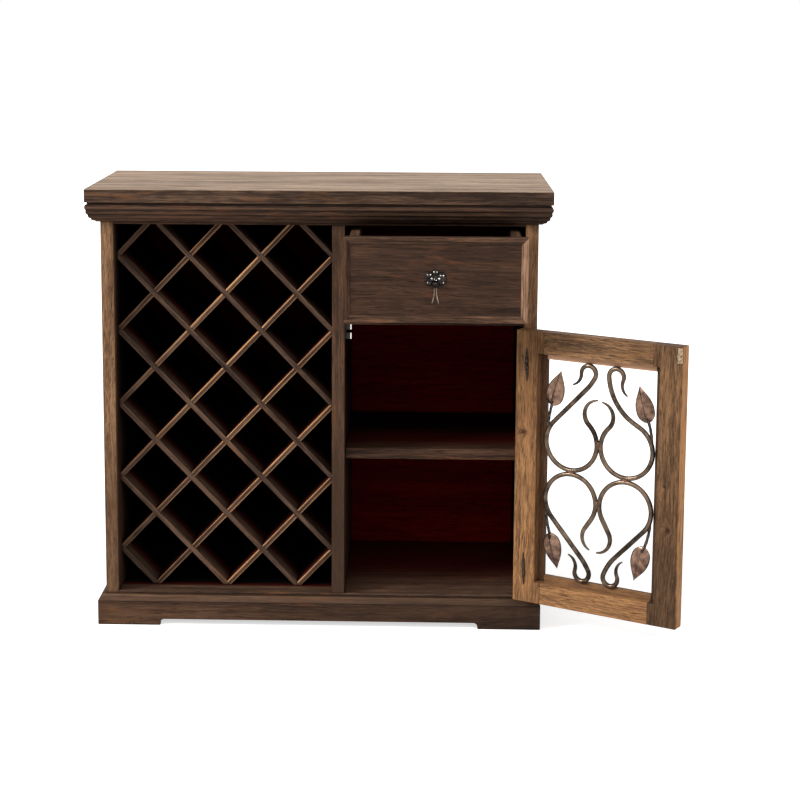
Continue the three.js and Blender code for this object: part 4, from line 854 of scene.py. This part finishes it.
DRAWER_PULL = Matrix.Translation(CARCASS + Vector((236, -137, 753.25)) * MM) @ Matrix.Scale(MM, 4)
build_pull("drawer_pull", "drawer", "drawer_drop", DRAWER_PULL)
build_pull("door_pull", "door", "door_drop", DOOR @ Matrix.Translation((DOOR_LEFT + STILE / 2, DOOR_OUTER, DOOR_MIDDLE_Z)))


# Olives: slim spindles in two swelling halves, flat against the stile

def build_olive(name, z):
    made = bmesh.new()
    for end in (-1, 1):
        profile = [(0.8, end * 33.9)]
        for i in range(1, 13):
            share = i / 12
            profile.append((0.8 + 2.6 * math.sin(math.pi / 2 * share) ** 1.2, end * (34 - share * 32)))
        profile += [(3.1, end * 1.5), (1.7, end * 0.9), (1.7, 0)]
        lathe(made, profile, 32, Matrix.Translation((end * 0.6, 0.5, 0)))
    bmesh.ops.bisect_plane(
        made, geom=made.verts[:] + made.edges[:] + made.faces[:],
        plane_co=(0, 0, 0), plane_no=(0, -1, 0), clear_outer=True,
    )
    bmesh.ops.edgeloop_fill(made, edges=[edge for edge in made.edges if edge.is_boundary])
    made.transform(DOOR @ Matrix.Translation((DOOR_RIGHT - (STILE - REBATE) / 2, DOOR_INNER + 0.3, z)))
    olive = mesh_object(f"{name}_spindle", made, [hinge_finish])
    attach(olive, "door")
    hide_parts(name)


build_olive("hinge_upper_olive", 566)
build_olive("hinge_lower_olive", 141)


# Studio

def studio():
    mesh = bpy.data.meshes.new("studio_floor")
    half = 30.0
    mesh.from_pydata([(-half, -half, 0), (half, -half, 0), (half, half, 0), (-half, half, 0)], [], [(0, 1, 2, 3)])
    floor = bpy.data.objects.new("studio_floor", mesh)
    bpy.context.scene.collection.objects.link(floor)
    material, n, shader = new_material("studio_floor")
    shader.inputs["Base Color"].default_value = (0.8, 0.8, 0.8, 1)
    shader.inputs["Roughness"].default_value = 0.9
    shader.inputs["Specular IOR Level"].default_value = 0.0
    shader.inputs["Emission Color"].default_value = (1, 1, 1, 1)
    n.put(shader.inputs["Emission Strength"], n.span(n.seen(), 0.0, 1.0, 0.0, 0.6))
    floor.data.materials.append(material)

    world = bpy.data.worlds.new("studio")
    bpy.context.scene.world = world
    world.use_nodes = True
    tree = world.node_tree
    tree.nodes.clear()
    n = Nodes(tree)
    background = n.add("ShaderNodeBackground")
    background.inputs["Color"].default_value = (1, 1, 1, 1)
    n.put(background.inputs["Strength"], n.span(n.seen(), 0.0, 1.0, 0.42, 1.0))
    output = n.add("ShaderNodeOutputWorld")
    tree.links.new(background.outputs[0], output.inputs["Surface"])

    for name, turn, strength, angle in (
        ("key_light", (60, 0, -66), 3.2, 20),
        ("front_light", (50, 0, -14), 1.1, 50),
        ("fill_light", (66, 0, 52), 0.7, 50),
    ):
        lamp = bpy.data.lights.new(name, "SUN")
        lamp.energy = strength
        lamp.angle = math.radians(angle)
        placed = bpy.data.objects.new(name, lamp)
        placed.rotation_euler = [math.radians(a) for a in turn]
        bpy.context.scene.collection.objects.link(placed)


def camera():
    """The photograph's viewpoint, from the carcass's front at floor level."""
    data = bpy.data.cameras.new("camera")
    focal_pixels, data.shift_x, data.shift_y = 1937.4, 0.05, -0.12
    yaw, pitch, roll = (math.radians(a) for a in (1.764, 8.972, -0.210))
    data.lens = focal_pixels / 800 * data.sensor_width
    made = bpy.data.objects.new("camera", data)
    made.location = CARCASS + Vector((0.2040, -3.8964, 1.2957))
    turn = Matrix.Rotation(yaw, 3, "Z") @ Matrix.Rotation(math.pi / 2 - pitch, 3, "X") @ Matrix.Rotation(-roll, 3, "Z")
    made.rotation_euler = turn.to_euler()
    bpy.context.scene.collection.objects.link(made)
    bpy.context.scene.camera = made


studio()
camera()
bpy.context.scene.view_settings.view_transform = "Standard"
